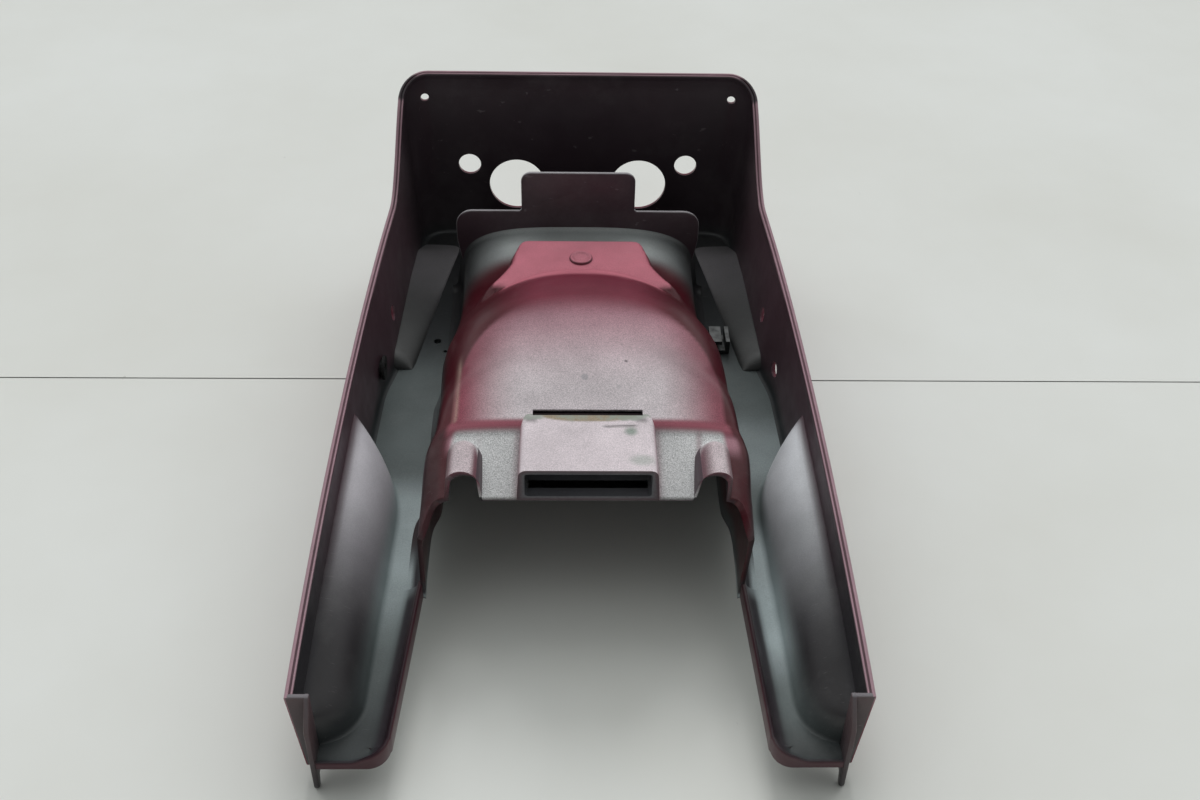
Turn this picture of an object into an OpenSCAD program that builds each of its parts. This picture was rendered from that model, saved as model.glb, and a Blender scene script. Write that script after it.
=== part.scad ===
// Rear fender of a motorcycle: a one-piece moulded tail shell with a wheel arch and a seat-tongue socket.
// X is across, Y runs from the front tips to the tail, Z is up. Millimetres.
// The origin is under the middle of the part, on the surface that it stands on.

/* [Outer wall] */
// Length from the front tips to the outer face of the tail wall
length = 550; // [500:1:620]
// Width over the wall tops at the front
front_width = 321; // [300:1:350]
// Width over the wall tops at the tail
tail_width = 286; // [270:1:300]
// Wall thickness of the moulding
wall = 3; // [2.5:0.1:4]
// Height of the wall top at the front
front_height = 66.5; // [60:0.5:80]
// Height of the wall top just ahead of the tail sweep
side_height = 106; // [95:0.5:120]
// Height of the tail wall
tail_height = 177; // [150:0.5:190]
// Length of the sweep from the side height up to the tail height
sweep_length = 96; // [70:1:140]
// Radius of the two upright tail corners, in plan
corner_r = 24; // [15:1:35]
// Width between the feet of the walls, over the outside, at the front
front_foot_width = 310; // [296:1:330]
// Width between the feet of the walls, over the outside, at the tail
tail_foot_width = 267; // [260:1:286]
// How far the foot of the wall steps in at the start of the rear ledge
foot_step = 9; // [0:0.5:16]

/* [Side scoops] */
// Depth of the scoop pressed into each side wall
scoop_depth = 28; // [5:0.5:32]
// Drop from the wall top to the upper edge of the scoop
scoop_drop = 24; // [16:0.5:40]
// Where the scoop ends at the rear, from the front tips
scoop_rear = 244; // [180:1:290]
// Length of the rounded rear end of the scoop
scoop_rear_round = 56; // [20:1:90]
// Length of the rounded front end of the scoop
scoop_front_round = 28; // [10:1:60]

/* [Channel floor] */
// Height of the channel floor at the front
floor_front_height = 21; // [17:0.5:26]
// Height of the channel floor at the tail
floor_tail_height = 27; // [20:0.5:34]
// Half of the gap between the two arms at their front ends
arm_gap_half = 107; // [96:0.5:112]
// Height of the turned-up inner lip above the floor
lip_height = 9; // [4:0.5:16]
// Radius of the inner front corner of each arm
arm_corner_r = 12; // [5:0.5:18]
// Where the rounded ledge along the foot of each side wall starts, from the front tips
ledge_start = 353; // [345:1:380]
// Height of that ledge above the floor
ledge_height = 11; // [4:0.5:14]
// Width of that ledge at its front end
ledge_width = 13; // [8:0.5:18]
// How much the ledge widens for each millimetre of its length
ledge_spread = 0.115; // [0:0.005:0.15]
// How full the ledge's section is: 0 is a straight slope, 1 a quarter round
ledge_fullness = 0.4; // [0:0.05:1]

/* [Front tongues] */
// Distance from the middle to the outer face of each tongue
tongue_half = 150; // [146:0.5:152]
// How far the tongue stands ahead of the wall end
tongue_reach = 13; // [8:0.5:20]
// Height of the tongue's front upper corner
tongue_height = 51; // [40:0.5:60]
// Width of the tip that the part stands on
tongue_tip = 5; // [3:0.5:8]

/* [Wheel arch] */
// Width of the wheel arch at its side walls
arch_width = 199; // [180:1:206]
// Width of the arch at its front flange
flange_width = 205; // [184:1:210]
// Width of the arch at its rear wall
arch_tail_width = 182; // [170:1:190]
// How far the arch's side walls lean out from foot to shoulder, at the front
arch_lean = 1; // [0:0.5:5]
// Where the arch's side walls start, from the front tips
arch_front = 127; // [110:1:140]
// Where the front flange starts, from the front tips
flange_front = 152; // [145:1:160]
// Height of the front edge of the flange
flange_height = 83; // [80:0.5:88]
// How much earlier the dome falls away at its sides than in the middle
dome_round = 36; // [0:1:45]
// Depth of the flange, back to the foot of the dome
flange_depth = 38; // [30:1:42]
// Rise of the flange over its depth
flange_rise = 17; // [12:0.5:20]
// Height of the crown of the dome
crown_height = 129; // [118:0.5:136]
// Where the crown is, from the front tips
crown_at = 302; // [285:1:310]
// Height of the flat pad behind the dome
pad_height = 108; // [104:0.5:112]
// Width of the pad
pad_width = 88; // [70:1:100]
// How much the pad flares on each side at its front, and over what length
pad_flare = 22; // [0:1:26]
pad_flare_length = 42; // [30:1:60]
// Radius of the pad's rear corners in plan
pad_corner_r = 5; // [2:0.5:10]
// Depth of the pad's fall, if nothing were under it
pad_fall = 60; // [40:1:80]
// Width of that fall behind the pad
pad_step = 12; // [6:1:20]
// Width of that fall beside the pad's rear; it is twice that beside its front
pad_flank = 20; // [12:1:30]
// Rear edge of the pad, from the front tips
pad_rear = 405; // [398:1:412]
// Height of the low deck behind the pad
deck_height = 85; // [80:0.5:90]
// Diameter of the round boss on the pad
boss_d = 17; // [10:0.5:24]
// Distance of the boss from the pad's rear edge
boss_inset = 24; // [15:0.5:30]
// Height of the round boss above the pad
boss_h = 2; // [1:0.5:4]
// How far the front of the arch has set over to the right, as on a used part
arch_set = 5.8; // [0:0.1:8]

/* [Flange ridges] */
// Distance from the middle to each half-round ridge
ridge_at = 78.5; // [74:0.5:82]
// Radius of each half-round ridge
ridge_r = 10; // [8:0.5:13]
// Height of the crest of each ridge
ridge_height = 104; // [100:0.5:106]

/* [Seat socket] */
// Outer width of the socket
socket_width = 88; // [70:1:100]
// Outer height of the socket
socket_height = 24; // [18:0.5:26]
// Length of the socket
socket_length = 57; // [40:1:60]
// Radius of the socket's upper long edges
socket_r = 5; // [2:0.5:7]
// Width of the slot at the rear of the socket's roof
slot_width = 70; // [40:1:76]
// Length of that slot along Y
slot_length = 3.5; // [2:0.5:6]

/* [Upright plate] */
// Where the upright plate stands, from the front tips
upright_at = 458; // [452:1:470]
// Height of the plate's shoulders
shoulder_height = 102; // [96:0.5:112]
// Width of the plate over its shoulders
shoulder_width = 193; // [186:1:200]
// Radius of the plate's shoulder corners
shoulder_r = 13; // [6:0.5:20]
// Height of the tab in the middle of the plate
tab_height = 136; // [120:0.5:145]
// Width of the tab
tab_width = 89; // [60:1:120]
// Radius of the tab's upper corners
tab_r = 8; // [3:0.5:14]

/* [Holes] */
// Diameter of the two large lamp-holder holes in the tail wall
lamp_hole_d = 46.8; // [30:0.1:50]
// Spacing of the lamp-holder holes
lamp_hole_spacing = 103; // [70:1:120]
// Height of the lamp-holder holes
lamp_hole_height = 75; // [66:0.5:90]
// Diameter of the two lamp-stud holes in the tail wall
stud_hole_d = 18.7; // [8:0.1:22]
// Spacing of the lamp-stud holes
stud_hole_spacing = 182; // [174:1:190]
// Height of the lamp-stud holes
stud_hole_height = 94; // [80:0.5:110]
// Diameter of the two screw holes near the tail wall's top corners
screw_hole_d = 6.6; // [4:0.1:9]
// Spacing of those screw holes
screw_hole_spacing = 250; // [220:1:252]
// Drop from the tail wall's top to those screw holes
screw_hole_drop = 22; // [14:0.5:34]
// Diameter of the side holes
side_hole_d = 12; // [8:0.5:16]
// Place of the front side hole, from the front tips
side_hole_front = 331; // [316:1:336]
// Height of the front side hole
side_hole_front_height = 44; // [38:0.5:55]
// Place of the rear side hole, from the front tips
side_hole_rear = 384; // [365:1:395]
// Height of the rear side hole
side_hole_rear_height = 56; // [52:0.5:72]
// Diameter of the clip hole in the channel floor
clip_hole_d = 6; // [4:0.5:8]
// Place of the clip hole, from the front tips
clip_hole_at = 389; // [370:1:400]
// Gap from the arch's foot to the middle of the clip hole
clip_hole_gap = 17.2; // [12:0.2:20]
// Diameter and place of the small drain hole on the left, and its gap from the arch's foot
drain_hole_d = 3; // [2:0.5:5]
drain_hole_at = 376; // [365:1:382]
drain_hole_gap = 10.5; // [8:0.5:14]

/* [Wire clip] */
// Width of the clip across the channel
clip_width = 15; // [10:0.5:18]
// Length of the clip along the channel
clip_length = 20; // [12:0.5:26]
// How far the clip reaches behind the middle of its stem
clip_rear = 5; // [4:0.5:12]
// Height of the clip
clip_height = 12; // [8:0.5:16]
// Thickness of the clip's base, ends and roof
clip_wall = 3; // [2:0.5:4]
// Opening between the clip's roof and one of its ends
clip_mouth = 3; // [1:0.5:5]

/* [Hidden] */
overlap = 1;
clearance = 0.3;
floor_inset = 0.8;
tail_y = length;
tail_mid = wall / 2;
corner_y = tail_y - corner_r;
wall_front = tongue_reach;
floor_slope = (floor_tail_height - floor_front_height) / (tail_y - wall);
step_front = ledge_start - 38;
ledge_round = 12;
step_rear = ledge_start + ledge_round;

// Smooth 0 to 1 rise between a and b
function rise(a, b, v) = let (t = max(0, min(1, (v - a) / (b - a)))) t * t * (3 - 2 * t);

// Quarter-round fall from 1 at a to 0 at b
function round_off(a, b, v) = let (t = max(0, min(1, (v - a) / (b - a)))) sqrt(1 - t * t);

// Straight mix of a and b
function mix(a, b, t) = a + (b - a) * t;

// Smooth curve through a list of [place, value] points
function curve(p, v) =
    let (n = len(p) - 1,
         c = max(p[0][0], min(p[n][0], v)),
         k = min(n - 1, max([for (i = [0:n - 1]) p[i][0] <= c ? i : 0])),
         a = p[max(0, k - 1)], b = p[k], d = p[k + 1], e = p[min(n, k + 2)],
         w = d[0] - b[0],
         t = (c - b[0]) / w,
         m0 = (d[1] - a[1]) / (d[0] - a[0]) * w,
         m1 = (e[1] - b[1]) / (e[0] - b[0]) * w)
    (2 * t ^ 3 - 3 * t ^ 2 + 1) * b[1] + (t ^ 3 - 2 * t ^ 2 + t) * m0
    + (3 * t ^ 2 - 2 * t ^ 3) * d[1] + (t ^ 3 - t ^ 2) * m1;

// Height of the channel floor's upper face
function floor_z(y) = floor_front_height + floor_slope * y;

// Height of the side wall's top edge
function side_top(y) =
    front_height + (side_height - front_height) * (1 - max(0, 1 - y / (tail_y - 1.35 * sweep_length)) ^ 1.7)
    + (tail_height - 5 - side_height) * rise(tail_y - sweep_length, tail_y, y);

// Half-widths over the outside, at the top edge and at the ground
function top_half(y) = mix(front_width, tail_width, max(0, y / tail_y) ^ 1.7) / 2;
function foot_half(y) =
    mix(front_foot_width, tail_foot_width + 2 * foot_step, max(0, y / tail_y)) / 2
    - foot_step * rise(step_front, step_rear, y);

// Inward push of the scoop
function scoop(y, z) =
    let (low = floor_z(y), high = side_top(y) - scoop_drop,
         front = wall_front + 3 + scoop_front_round, rear = scoop_rear - scoop_rear_round)
    scoop_depth * (y < front ? round_off(front, wall_front + 3, y) : round_off(rear, scoop_rear, y))
    * round_off(low, high, z);

// Outer face of the side wall
function side_x(y, z) = mix(foot_half(y), top_half(y), z / side_top(y)) - scoop(y, z);

// Bottom edge of the wall: it rises to the floor along the scoop and stands on the ground behind it
function wall_bottom(y) =
    (floor_z(y) - wall - overlap) * mix(0.4, 1, rise(wall_front, wall_front + 20, y))
    * (1 - rise(scoop_rear - 24, scoop_rear + 12, y));

// Stations along the wall, from the left front end round the tail to the middle: [kind, place]
scoop_steps = 20;
side_steps = 13;
corner_steps = 5;
half_path = concat(
    [for (i = [0:scoop_steps]) ["side", mix(wall_front, scoop_rear + 10, i / scoop_steps)]],
    [for (i = [1:side_steps]) ["side", mix(scoop_rear + 10, corner_y, i / side_steps)]],
    [for (i = [1:corner_steps]) ["corner", 90 * i / corner_steps]],
    [["tail", 0.5], ["tail", 0]]);

// Top and bottom of the wall at a station
function station_top(s) =
    s[0] == "side" ? side_top(s[1]) :
    s[0] == "corner" ? mix(side_top(corner_y), tail_height, sin(s[1])) : tail_height;
function station_bottom(s) = s[0] == "side" ? wall_bottom(s[1]) : 0;

// Point of the wall at a station and height, set in from the outer face by a depth; the side is -1 or 1
function wall_point(s, z, depth, side) =
    s[0] == "side" ? [side * (side_x(s[1], z) - depth), s[1], z] :
    let (cx = side_x(corner_y, z) - corner_r, r = corner_r - depth)
    s[0] == "corner" ? [side * (cx + r * cos(s[1])), corner_y + r * sin(s[1]), z] :
    [side * cx * s[1], tail_y - depth, z];

socket_x = set_x(flange_front, flange_height);
clip_half = arch_foot(clip_hole_at) + clip_hole_gap;

// Closed skin between two grids of points with the same rows and columns
module skin(outer, inner) {
    rows = len(outer);
    cols = len(outer[0]);
    n = rows * cols;
    function at(r, c) = r * cols + c;
    function quad(a, b, c, d) = [[a, b, c], [a, c, d]];
    points = concat([for (r = outer) each r], [for (r = inner) each r]);
    faces = concat(
        [for (r = [0:rows - 2], c = [0:cols - 2])
            each quad(at(r, c), at(r, c + 1), at(r + 1, c + 1), at(r + 1, c))],
        [for (r = [0:rows - 2], c = [0:cols - 2])
            each quad(n + at(r + 1, c), n + at(r + 1, c + 1), n + at(r, c + 1), n + at(r, c))],
        [for (c = [0:cols - 2])
            each quad(at(0, c + 1), at(0, c), n + at(0, c), n + at(0, c + 1))],
        [for (c = [0:cols - 2])
            each quad(at(rows - 1, c), at(rows - 1, c + 1), n + at(rows - 1, c + 1), n + at(rows - 1, c))],
        [for (r = [0:rows - 2])
            each quad(at(r, 0), at(r + 1, 0), n + at(r + 1, 0), n + at(r, 0))],
        [for (r = [0:rows - 2])
            each quad(at(r + 1, cols - 1), at(r, cols - 1), n + at(r, cols - 1), n + at(r + 1, cols - 1))]);
    polyhedron(points, faces, convexity = 10);
}

// Outer wall: side walls with their scoops, round tail corners and the flat tail wall
module outer_wall() {
    levels = [0, 0.12, 0.26, 0.42, 0.56, 0.66, 0.74, 1];
    count = len(half_path);
    path = concat(
        [for (s = half_path) [s, -1]],
        [for (i = [count - 2:-1:0]) [half_path[i], 1]]);
    function face(depth) = [for (p = path)
        let (s = p[0], low = station_bottom(s), high = station_top(s))
        [for (t = levels) wall_point(s, mix(low, high, t), depth, p[1])]];
    skin(face(wall), face(0));
}

// Half-width of the arch over its outside
function arch_half(y) = curve([
    [arch_front, flange_width / 2], [flange_front + 4, flange_width / 2 + 1],
    [flange_front + flange_depth - 4, flange_width / 2 + 0.5], [flange_front + flange_depth + 14, arch_width / 2 - 1],
    [crown_at, arch_width / 2], [crown_at + 25, arch_width / 2 - 4.5], [crown_at + 50, arch_width / 2 - 7],
    [crown_at + 76, arch_tail_width / 2], [upright_at, arch_tail_width / 2]], y);

// Half-width of the arch at its foot: the side walls lean out at the front and in at the rear
function arch_foot(y) = arch_half(y) - mix(arch_lean, -2, rise(crown_at, pad_rear, y));

// Height of the arch along its middle, without the pad
function arch_middle(y) =
    let (foot = flange_front + flange_depth, top = flange_height + flange_rise, drop = crown_height - deck_height)
    curve([
    [flange_front, flange_height], [foot, top], [foot + 5, top + 3.8],
    [foot + 14, top + 6.7], [mix(foot, crown_at, 0.5), mix(top, crown_height, 0.78)],
    [crown_at, crown_height], [crown_at + 30, crown_height - 0.1 * drop],
    [crown_at + 44, crown_height - 0.22 * drop], [crown_at + 59, crown_height - 0.41 * drop],
    [crown_at + 76, crown_height - 0.7 * drop],
    [pad_rear + 6, deck_height + 2.5], [upright_at, deck_height]], y);

// Sideways set of the arch, full at the height of the flange and less at the floor
function set_x(y, z) =
    arch_set * min(1, (max(0, y) / flange_front) ^ 0.8)
    * (1 - 0.74 * rise(crown_at - 60, pad_rear - 20, y) - 0.3 * rise(pad_rear, upright_at, y))
    * (0.3 + 0.7 * max(0, min(1, (z - floor_front_height) / (ridge_height - floor_front_height))));

// Height at which the arch's side wall starts to round over
function arch_shoulder(y) =
    flange_height - 6 - 17 * rise(flange_front + flange_depth, crown_at - 10, y)
    - 15 * rise(crown_at + 25, pad_rear + 8, y);

// How square the arch's section is: 2 is an ellipse
function arch_square(y) =
    5 - 2.7 * rise(flange_front + flange_depth, crown_at - 42, y) - 0.3 * rise(crown_at + 30, pad_rear - 20, y)
    + 1.2 * rise(pad_rear - 12, upright_at - 12, y);

// Flat pad behind the dome, with flared front sides, sloping flanks and round rear corners
function pad_z(x, y) =
    let (half = pad_width / 2 + 3 + pad_flare * max(0, (crown_at + 78 - y) / pad_flare_length) ^ 1.5 - 3 * rise(crown_at + 84, pad_rear, y),
         out = max(0, abs(x) - half + pad_corner_r), back = max(0, y - pad_rear + pad_corner_r),
         side_width = pad_flank * (2 - rise(crown_at + 60, pad_rear - 5, y)),
         width = (side_width * out ^ 2 + pad_step * back ^ 2) / max(0.01, out ^ 2 + back ^ 2))
    pad_height - pad_fall * rise(0, max(1, width), norm([out, back]) - pad_corner_r)
    - 40 * (1 - rise(crown_at + 10, crown_at + 50, y));

// Half-round ridge over each end of the flange, round at its rear end too
function ridge_z(x, y) =
    let (d = abs(abs(x) - ridge_at), e = max(0, y - (flange_front + flange_depth - 3 - ridge_r)), h = d ^ 2 + e ^ 2)
    h >= ridge_r ^ 2 ? 0 : ridge_height - ridge_r + sqrt(ridge_r ^ 2 - h);

// Height of the arch's upper face
function arch_z(x, y) =
    let (f = min(1, abs(x) / arch_half(y)), n = arch_square(y), low = arch_shoulder(y),
         back = y + dome_round * f ^ 2.5 * rise(crown_at - 60, crown_at, y) * (1 - rise(pad_rear - 30, pad_rear, y)),
         shell = low + (arch_middle(back) - low) * (1 - f ^ n) ^ (1 / n))
    max(shell, pad_z(x, y), y < flange_front + flange_depth ? ridge_z(x, y) : 0);

// Front edge of the arch: it runs back from the side walls to the flange
function arch_edge(f) = mix(flange_front, arch_front, rise(0.9, 1, f) ^ 2);

// Wheel arch: side walls, flange, dome, pad and deck in one skin
module wheel_arch() {
    ridge_out = (ridge_at + ridge_r) / (flange_width / 2);
    ridge_in = (ridge_at - ridge_r) / (flange_width / 2);
    columns = concat([1, 0.985, 0.955, 0.925], [for (t = [0:0.25:1]) mix(ridge_out, ridge_in, t)],
        [ridge_in - 0.03, 0.56, 0.48, 0.42, 0.26, 0.12]);
    across = concat([for (c = columns) -c], [0], [for (i = [len(columns) - 1:-1:0]) columns[i]]);
    foot = flange_front + flange_depth;
    rows = concat(
        [for (i = [0:4]) mix(flange_front, foot - 0.2, i / 4)],
        [foot + 3, foot + 7],
        [for (i = [1:6]) mix(foot + 7, crown_at + 6, i / 6)],
        [for (i = [1:4]) mix(crown_at + 6, crown_at + 52, i / 4)],
        [for (i = [1:3]) mix(crown_at + 52, pad_rear - 2, i / 3)],
        [pad_rear + 3, pad_rear + 8, pad_rear + 24, upright_at + overlap]);
    last = len(rows) - 1;
    function place(f, y) = let (t = (y - flange_front) / (rows[last] - flange_front))
        mix(arch_edge(abs(f)), rows[last], t);
    function side_low(f, y, depth) =
        [sign(f) * (arch_foot(y) - depth) + set_x(y, 0), y, floor_z(y) - wall - overlap];
    function face(depth) = [for (r = rows)
        let (ys = place(1, r), low = side_low(-1, ys, depth), high = side_low(1, ys, depth),
             half_z = mix(low[2], arch_shoulder(ys), 0.5), more = set_x(ys, half_z) - set_x(ys, 0),
             lean = (arch_half(ys) - arch_foot(ys)) / 2)
        concat(
            [low, [low[0] + more - lean, ys, half_z]],
            [for (f = across)
                let (y = place(f, r), z = arch_z(f * arch_half(y), y))
                [f * (arch_half(y) - depth) + set_x(y, z), y, z - depth * (abs(f) == 1 ? 0 : 1)]],
            [[high[0] + more + lean, ys, half_z], high])];
    skin(face(wall), face(0));
}

// Plan points of the wall's middle layer at floor level, from the left front end to the tail's middle
function floor_edge(side) = [for (s = half_path)
    if (s[0] != "tail")
        let (p = wall_point(s, floor_z(min(s[0] == "side" ? s[1] : corner_y, tail_y)), tail_mid, side))
        [p[0], p[1]]];

// Inner edge of one arm and of the wheel opening, from the front to the rear
function arm_inner(y, inset) = y < arch_front
    ? mix(arm_gap_half, arch_foot(arch_front) - tail_mid, max(0, y / arch_front)) + inset
    : arch_foot(y) - tail_mid + inset;

// Round inner front corner of an arm, as plan points
function arm_corner(r, inset) = [for (i = [0:6])
    let (a = 90 * i / 6)
    [arm_gap_half + inset + r - r * sin(a), inset + r - r * cos(a)]];

// Half of the floor's outline: from the front of the arm, along the wall to the tail
function outer_half(side) = concat(
    [for (p = [[tongue_half - tail_mid, 0], [tongue_half - tail_mid, wall_front + tail_mid]]) [side * p[0], p[1]]],
    [for (p = floor_edge(side)) if (p[1] > wall_front + 4) p]);

// Half of the floor's inner outline: from the front of the arm, along the wheel opening to the upright plate
function inner_half(side) = concat(
    [for (p = arm_corner(arm_corner_r, 0)) [side * p[0] + set_x(p[1], 0), p[1]]],
    [for (y = [40, arch_front, arch_front + 25, flange_front + flange_depth, flange_front + flange_depth + 14,
        crown_at - 50, crown_at, crown_at + 30, crown_at + 55, crown_at + 84, pad_rear + 12,
        upright_at + 2]) [side * arm_inner(y, 0) + set_x(y, 0), y]]);

function reversed(list) = [for (i = [len(list) - 1:-1:0]) list[i]];

module on_floor() {
    translate([0, floor_inset, floor_front_height - wall]) rotate([atan(floor_slope), 0, 0]) children();
}

// Channel floor: both arms and the pocket behind the arch
module channel_floor() {
    on_floor() linear_extrude(wall)
        polygon(concat(outer_half(1), reversed(outer_half(-1)), inner_half(-1), reversed(inner_half(1))));
}

// Turned-up lip along the inner edge of an arm
module arm_lip(side) {
    stops = [40, 70, 100, arch_front + 2];
    outer = concat(arm_corner(arm_corner_r, 0), [for (y = stops) [arm_inner(y, 0), y]]);
    inner = concat(arm_corner(arm_corner_r - wall, wall), [for (y = stops) [arm_inner(y, wall), y]]);
    ring = concat(outer, reversed(inner));
    on_floor() linear_extrude(wall + lip_height)
        polygon([for (p = ring) [side * p[0] + set_x(p[1], 0), p[1]]]);
}

// Rounded ledge along the foot of a side wall, fading out into the tail corner
module rear_ledge(side) {
    places = [for (t = [0, 0.01, 0.04, 0.1, 0.2, 0.4, 0.6, 0.8, 0.92, 1]) mix(ledge_start, corner_y + 4, t)];
    across = [1, 0.98, 0.9, 0.75, 0.55, 0.3, 0];
    function top(y) = ledge_height * round_off(step_rear, ledge_start, min(y, step_rear))
        * (1 - rise(corner_y - 30, corner_y + 3, y));
    function grid(sunk) = [for (y = places)
        let (z = floor_z(y), out = side_x(y, z) - tail_mid, width = ledge_width + (y - ledge_start) * ledge_spread)
        [for (t = across)
            [side * (out - (width + tail_mid) * t), y, sunk ? z - wall / 2 : z - 0.2 + top(y) * mix(1 - t, round_off(0, 1, t), ledge_fullness)]]];
    if (side == 1) skin(grid(true), grid(false));
    else skin(grid(false), grid(true));
}

// Front tongue that the part stands on, with the joggle that joins it to the wall
module tongue(side) {
    top = side_top(wall_front);
    low = wall_bottom(wall_front);
    out = side == 1 ? tongue_half : -tongue_half + wall;
    translate([out, 0, 0]) rotate([90, 0, -90]) linear_extrude(wall)
        polygon([
            [-tongue_tip, 0], [-1.5, 0], [0, 3], [0, tongue_height], [-wall_front, top],
            [-wall_front - wall, top], [-wall_front - wall, low], [-tongue_tip - 2, low]]);
    joggle = [
        [tongue_half - wall / 2, low], [side_x(wall_front, low) - wall / 2, low],
        [side_x(wall_front, top) - wall / 2, top], [tongue_half - wall / 2, top]];
    translate([0, wall_front + wall + 0.5, 0]) rotate([90, 0, 0]) linear_extrude(wall)
        polygon([for (p = joggle) [side * p[0], p[1]]]);
}

// Rounded rectangle, exact, standing on y = 0
module round_top(w, h, r) {
    translate([-w / 2, 0]) square([w, h - r]);
    translate([-w / 2 + r, 0]) square([w - 2 * r, h]);
    for (s = [-1, 1]) translate([s * (w / 2 - r), h - r]) circle(r, $fn = 32);
}

// Upright plate across the rear of the arch, with its tab
module upright_plate() {
    low = floor_z(upright_at) - wall - 2 * overlap;
    foot = arch_tail_width / 2 + 1;
    half = shoulder_width / 2;
    arc = [for (i = [0:6]) [sin(15 * i), cos(15 * i)]];
    right = concat(
        [[foot, low], [foot, 45], [half, 70]],
        [for (p = reversed(arc))
            [half - shoulder_r + shoulder_r * p[0], shoulder_height - shoulder_r + shoulder_r * p[1]]],
        [[tab_width / 2, shoulder_height]],
        [for (p = reversed(arc)) [tab_width / 2 - tab_r + tab_r * p[0], tab_height - tab_r + tab_r * p[1]]]);
    translate([set_x(upright_at, shoulder_height), upright_at + wall, 0]) rotate([90, 0, 0]) linear_extrude(wall)
        polygon(concat(right, [for (p = reversed(right)) [-p[0], p[1]]]));
}

// Socket for the seat's tongue, as a block; its tunnel is cut afterwards
module socket_block() {
    translate([socket_x, flange_front - 2 + socket_length, flange_height - 0.5]) rotate([90, 0, 0])
        linear_extrude(socket_length) round_top(socket_width, socket_height, socket_r);
}

module socket_tunnel() {
    inner_w = socket_width - 2 * (wall + 2);
    inner_h = socket_height - 2 * wall;
    translate([socket_x - inner_w / 2, flange_front - 2 - overlap, flange_height - 0.5 + wall])
        cube([inner_w, socket_length - wall + overlap, inner_h]);
    translate([socket_x - slot_width / 2, flange_front - 2 + socket_length - slot_length - 0.5, flange_height + wall + 1])
        cube([slot_width, slot_length, socket_height]);
}

module pad_boss() {
    boss_y = pad_rear - boss_inset;
    translate([set_x(boss_y, pad_height), boss_y, pad_height - overlap])
        cylinder(d = boss_d, h = boss_h + overlap, $fn = 48);
}

// Bore along Y through the tail wall
module tail_bore(x, z, d) {
    translate([x, tail_y + overlap, z]) rotate([90, 0, 0]) cylinder(d = d, h = wall + 2 * overlap, $fn = 64);
}

module tail_holes() {
    for (s = [-1, 1]) {
        tail_bore(s * lamp_hole_spacing / 2, lamp_hole_height, lamp_hole_d);
        tail_bore(s * stud_hole_spacing / 2, stud_hole_height, stud_hole_d);
        tail_bore(s * screw_hole_spacing / 2, tail_height - screw_hole_drop, screw_hole_d);
    }
}

// Bore along X through a side wall
module side_bore(side, y, z) {
    reach = side_x(y, z);
    translate([side * (reach - 4 * wall), y, z]) rotate([0, side * 90, 0])
        cylinder(d = side_hole_d, h = 8 * wall, $fn = 48);
}

module side_holes() {
    for (s = [-1, 1]) {
        side_bore(s, side_hole_front, side_hole_front_height);
        side_bore(s, side_hole_rear, side_hole_rear_height);
    }
}

// Bore down through the channel floor
module floor_bore(x, y, d) {
    translate([x, y, floor_z(y) - 2 * wall]) cylinder(d = d, h = 4 * wall, $fn = 32);
}

module floor_holes() {
    for (s = [-1, 1]) floor_bore(s * clip_half, clip_hole_at, clip_hole_d);
    floor_bore(-arch_foot(drain_hole_at) - drain_hole_gap, drain_hole_at, drain_hole_d);
}

// Room for the clip above the floor, so that the ledge never meets it
module clip_room() {
    translate([clip_half - clip_width / 2 - clearance, clip_hole_at - clip_length + clip_rear - clearance,
        floor_z(clip_hole_at) + clearance])
        cube([clip_width + 2 * clearance, clip_length + 2 * clearance, clip_height + clearance]);
}

module placed() {
    translate([0, -length / 2, 0]) children();
}

module fender_shell() {
    color([0.36, 0.12, 0.19]) placed() difference() {
        union() {
            outer_wall();
            channel_floor();
            wheel_arch();
            upright_plate();
            socket_block();
            pad_boss();
            for (s = [-1, 1]) {
                arm_lip(s);
                rear_ledge(s);
                tongue(s);
            }
        }
        socket_tunnel();
        tail_holes();
        side_holes();
        floor_holes();
        clip_room();
    }
}

// Black clip for a wire, pressed into the right clip hole: a base, two ends and a roof with a mouth at one side
module wire_clip() {
    top = floor_z(clip_hole_at);
    foot = 2 * clearance;
    color([0.06, 0.06, 0.06]) placed() translate([clip_half, clip_hole_at, top]) {
        translate([0, 0, -wall - 4]) cylinder(d = clip_hole_d - 2 * clearance, h = wall + 5, $fn = 32);
        translate([-clip_width / 2, clip_rear - clip_length, foot]) {
            cube([clip_width, clip_length, clip_wall]);
            cube([clip_wall, clip_length, clip_height - foot]);
            translate([clip_width - clip_wall, 0, 0]) cube([clip_wall, clip_length, clip_height - foot]);
            translate([0, 0, clip_height - foot - clip_wall]) cube([clip_width - clip_wall - clip_mouth, clip_length, clip_wall]);
        }
    }
}

// Rubber grommet in the left front side hole
module grommet() {
    reach = side_x(side_hole_front, side_hole_front_height);
    color([0.05, 0.05, 0.05]) placed() translate([-reach + wall / 2, side_hole_front, side_hole_front_height])
        rotate([0, 90, 0]) difference() {
            union() {
                cylinder(d = side_hole_d - 2 * clearance, h = 3 * wall, center = true, $fn = 48);
                for (s = [-1, 1])
                    translate([0, 0, s * (wall / 2 + 2.2)]) cylinder(d = side_hole_d + 6, h = 2, center = true, $fn = 48);
            }
            cylinder(d = side_hole_d - 5, h = 5 * wall, center = true, $fn = 48);
        }
}

fender_shell();
wire_clip();
grommet();
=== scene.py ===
# Looks of a motorcycle rear fender: one moulded shell with burgundy metallic paint over black plastic,
# a wire clip and a rubber grommet. Lengths are in millimetres and Y is counted from the front tips,
# until place() turns them into the frame's metres.

import bmesh
import bpy
import numpy as np
from mathutils import Matrix, Vector


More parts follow.
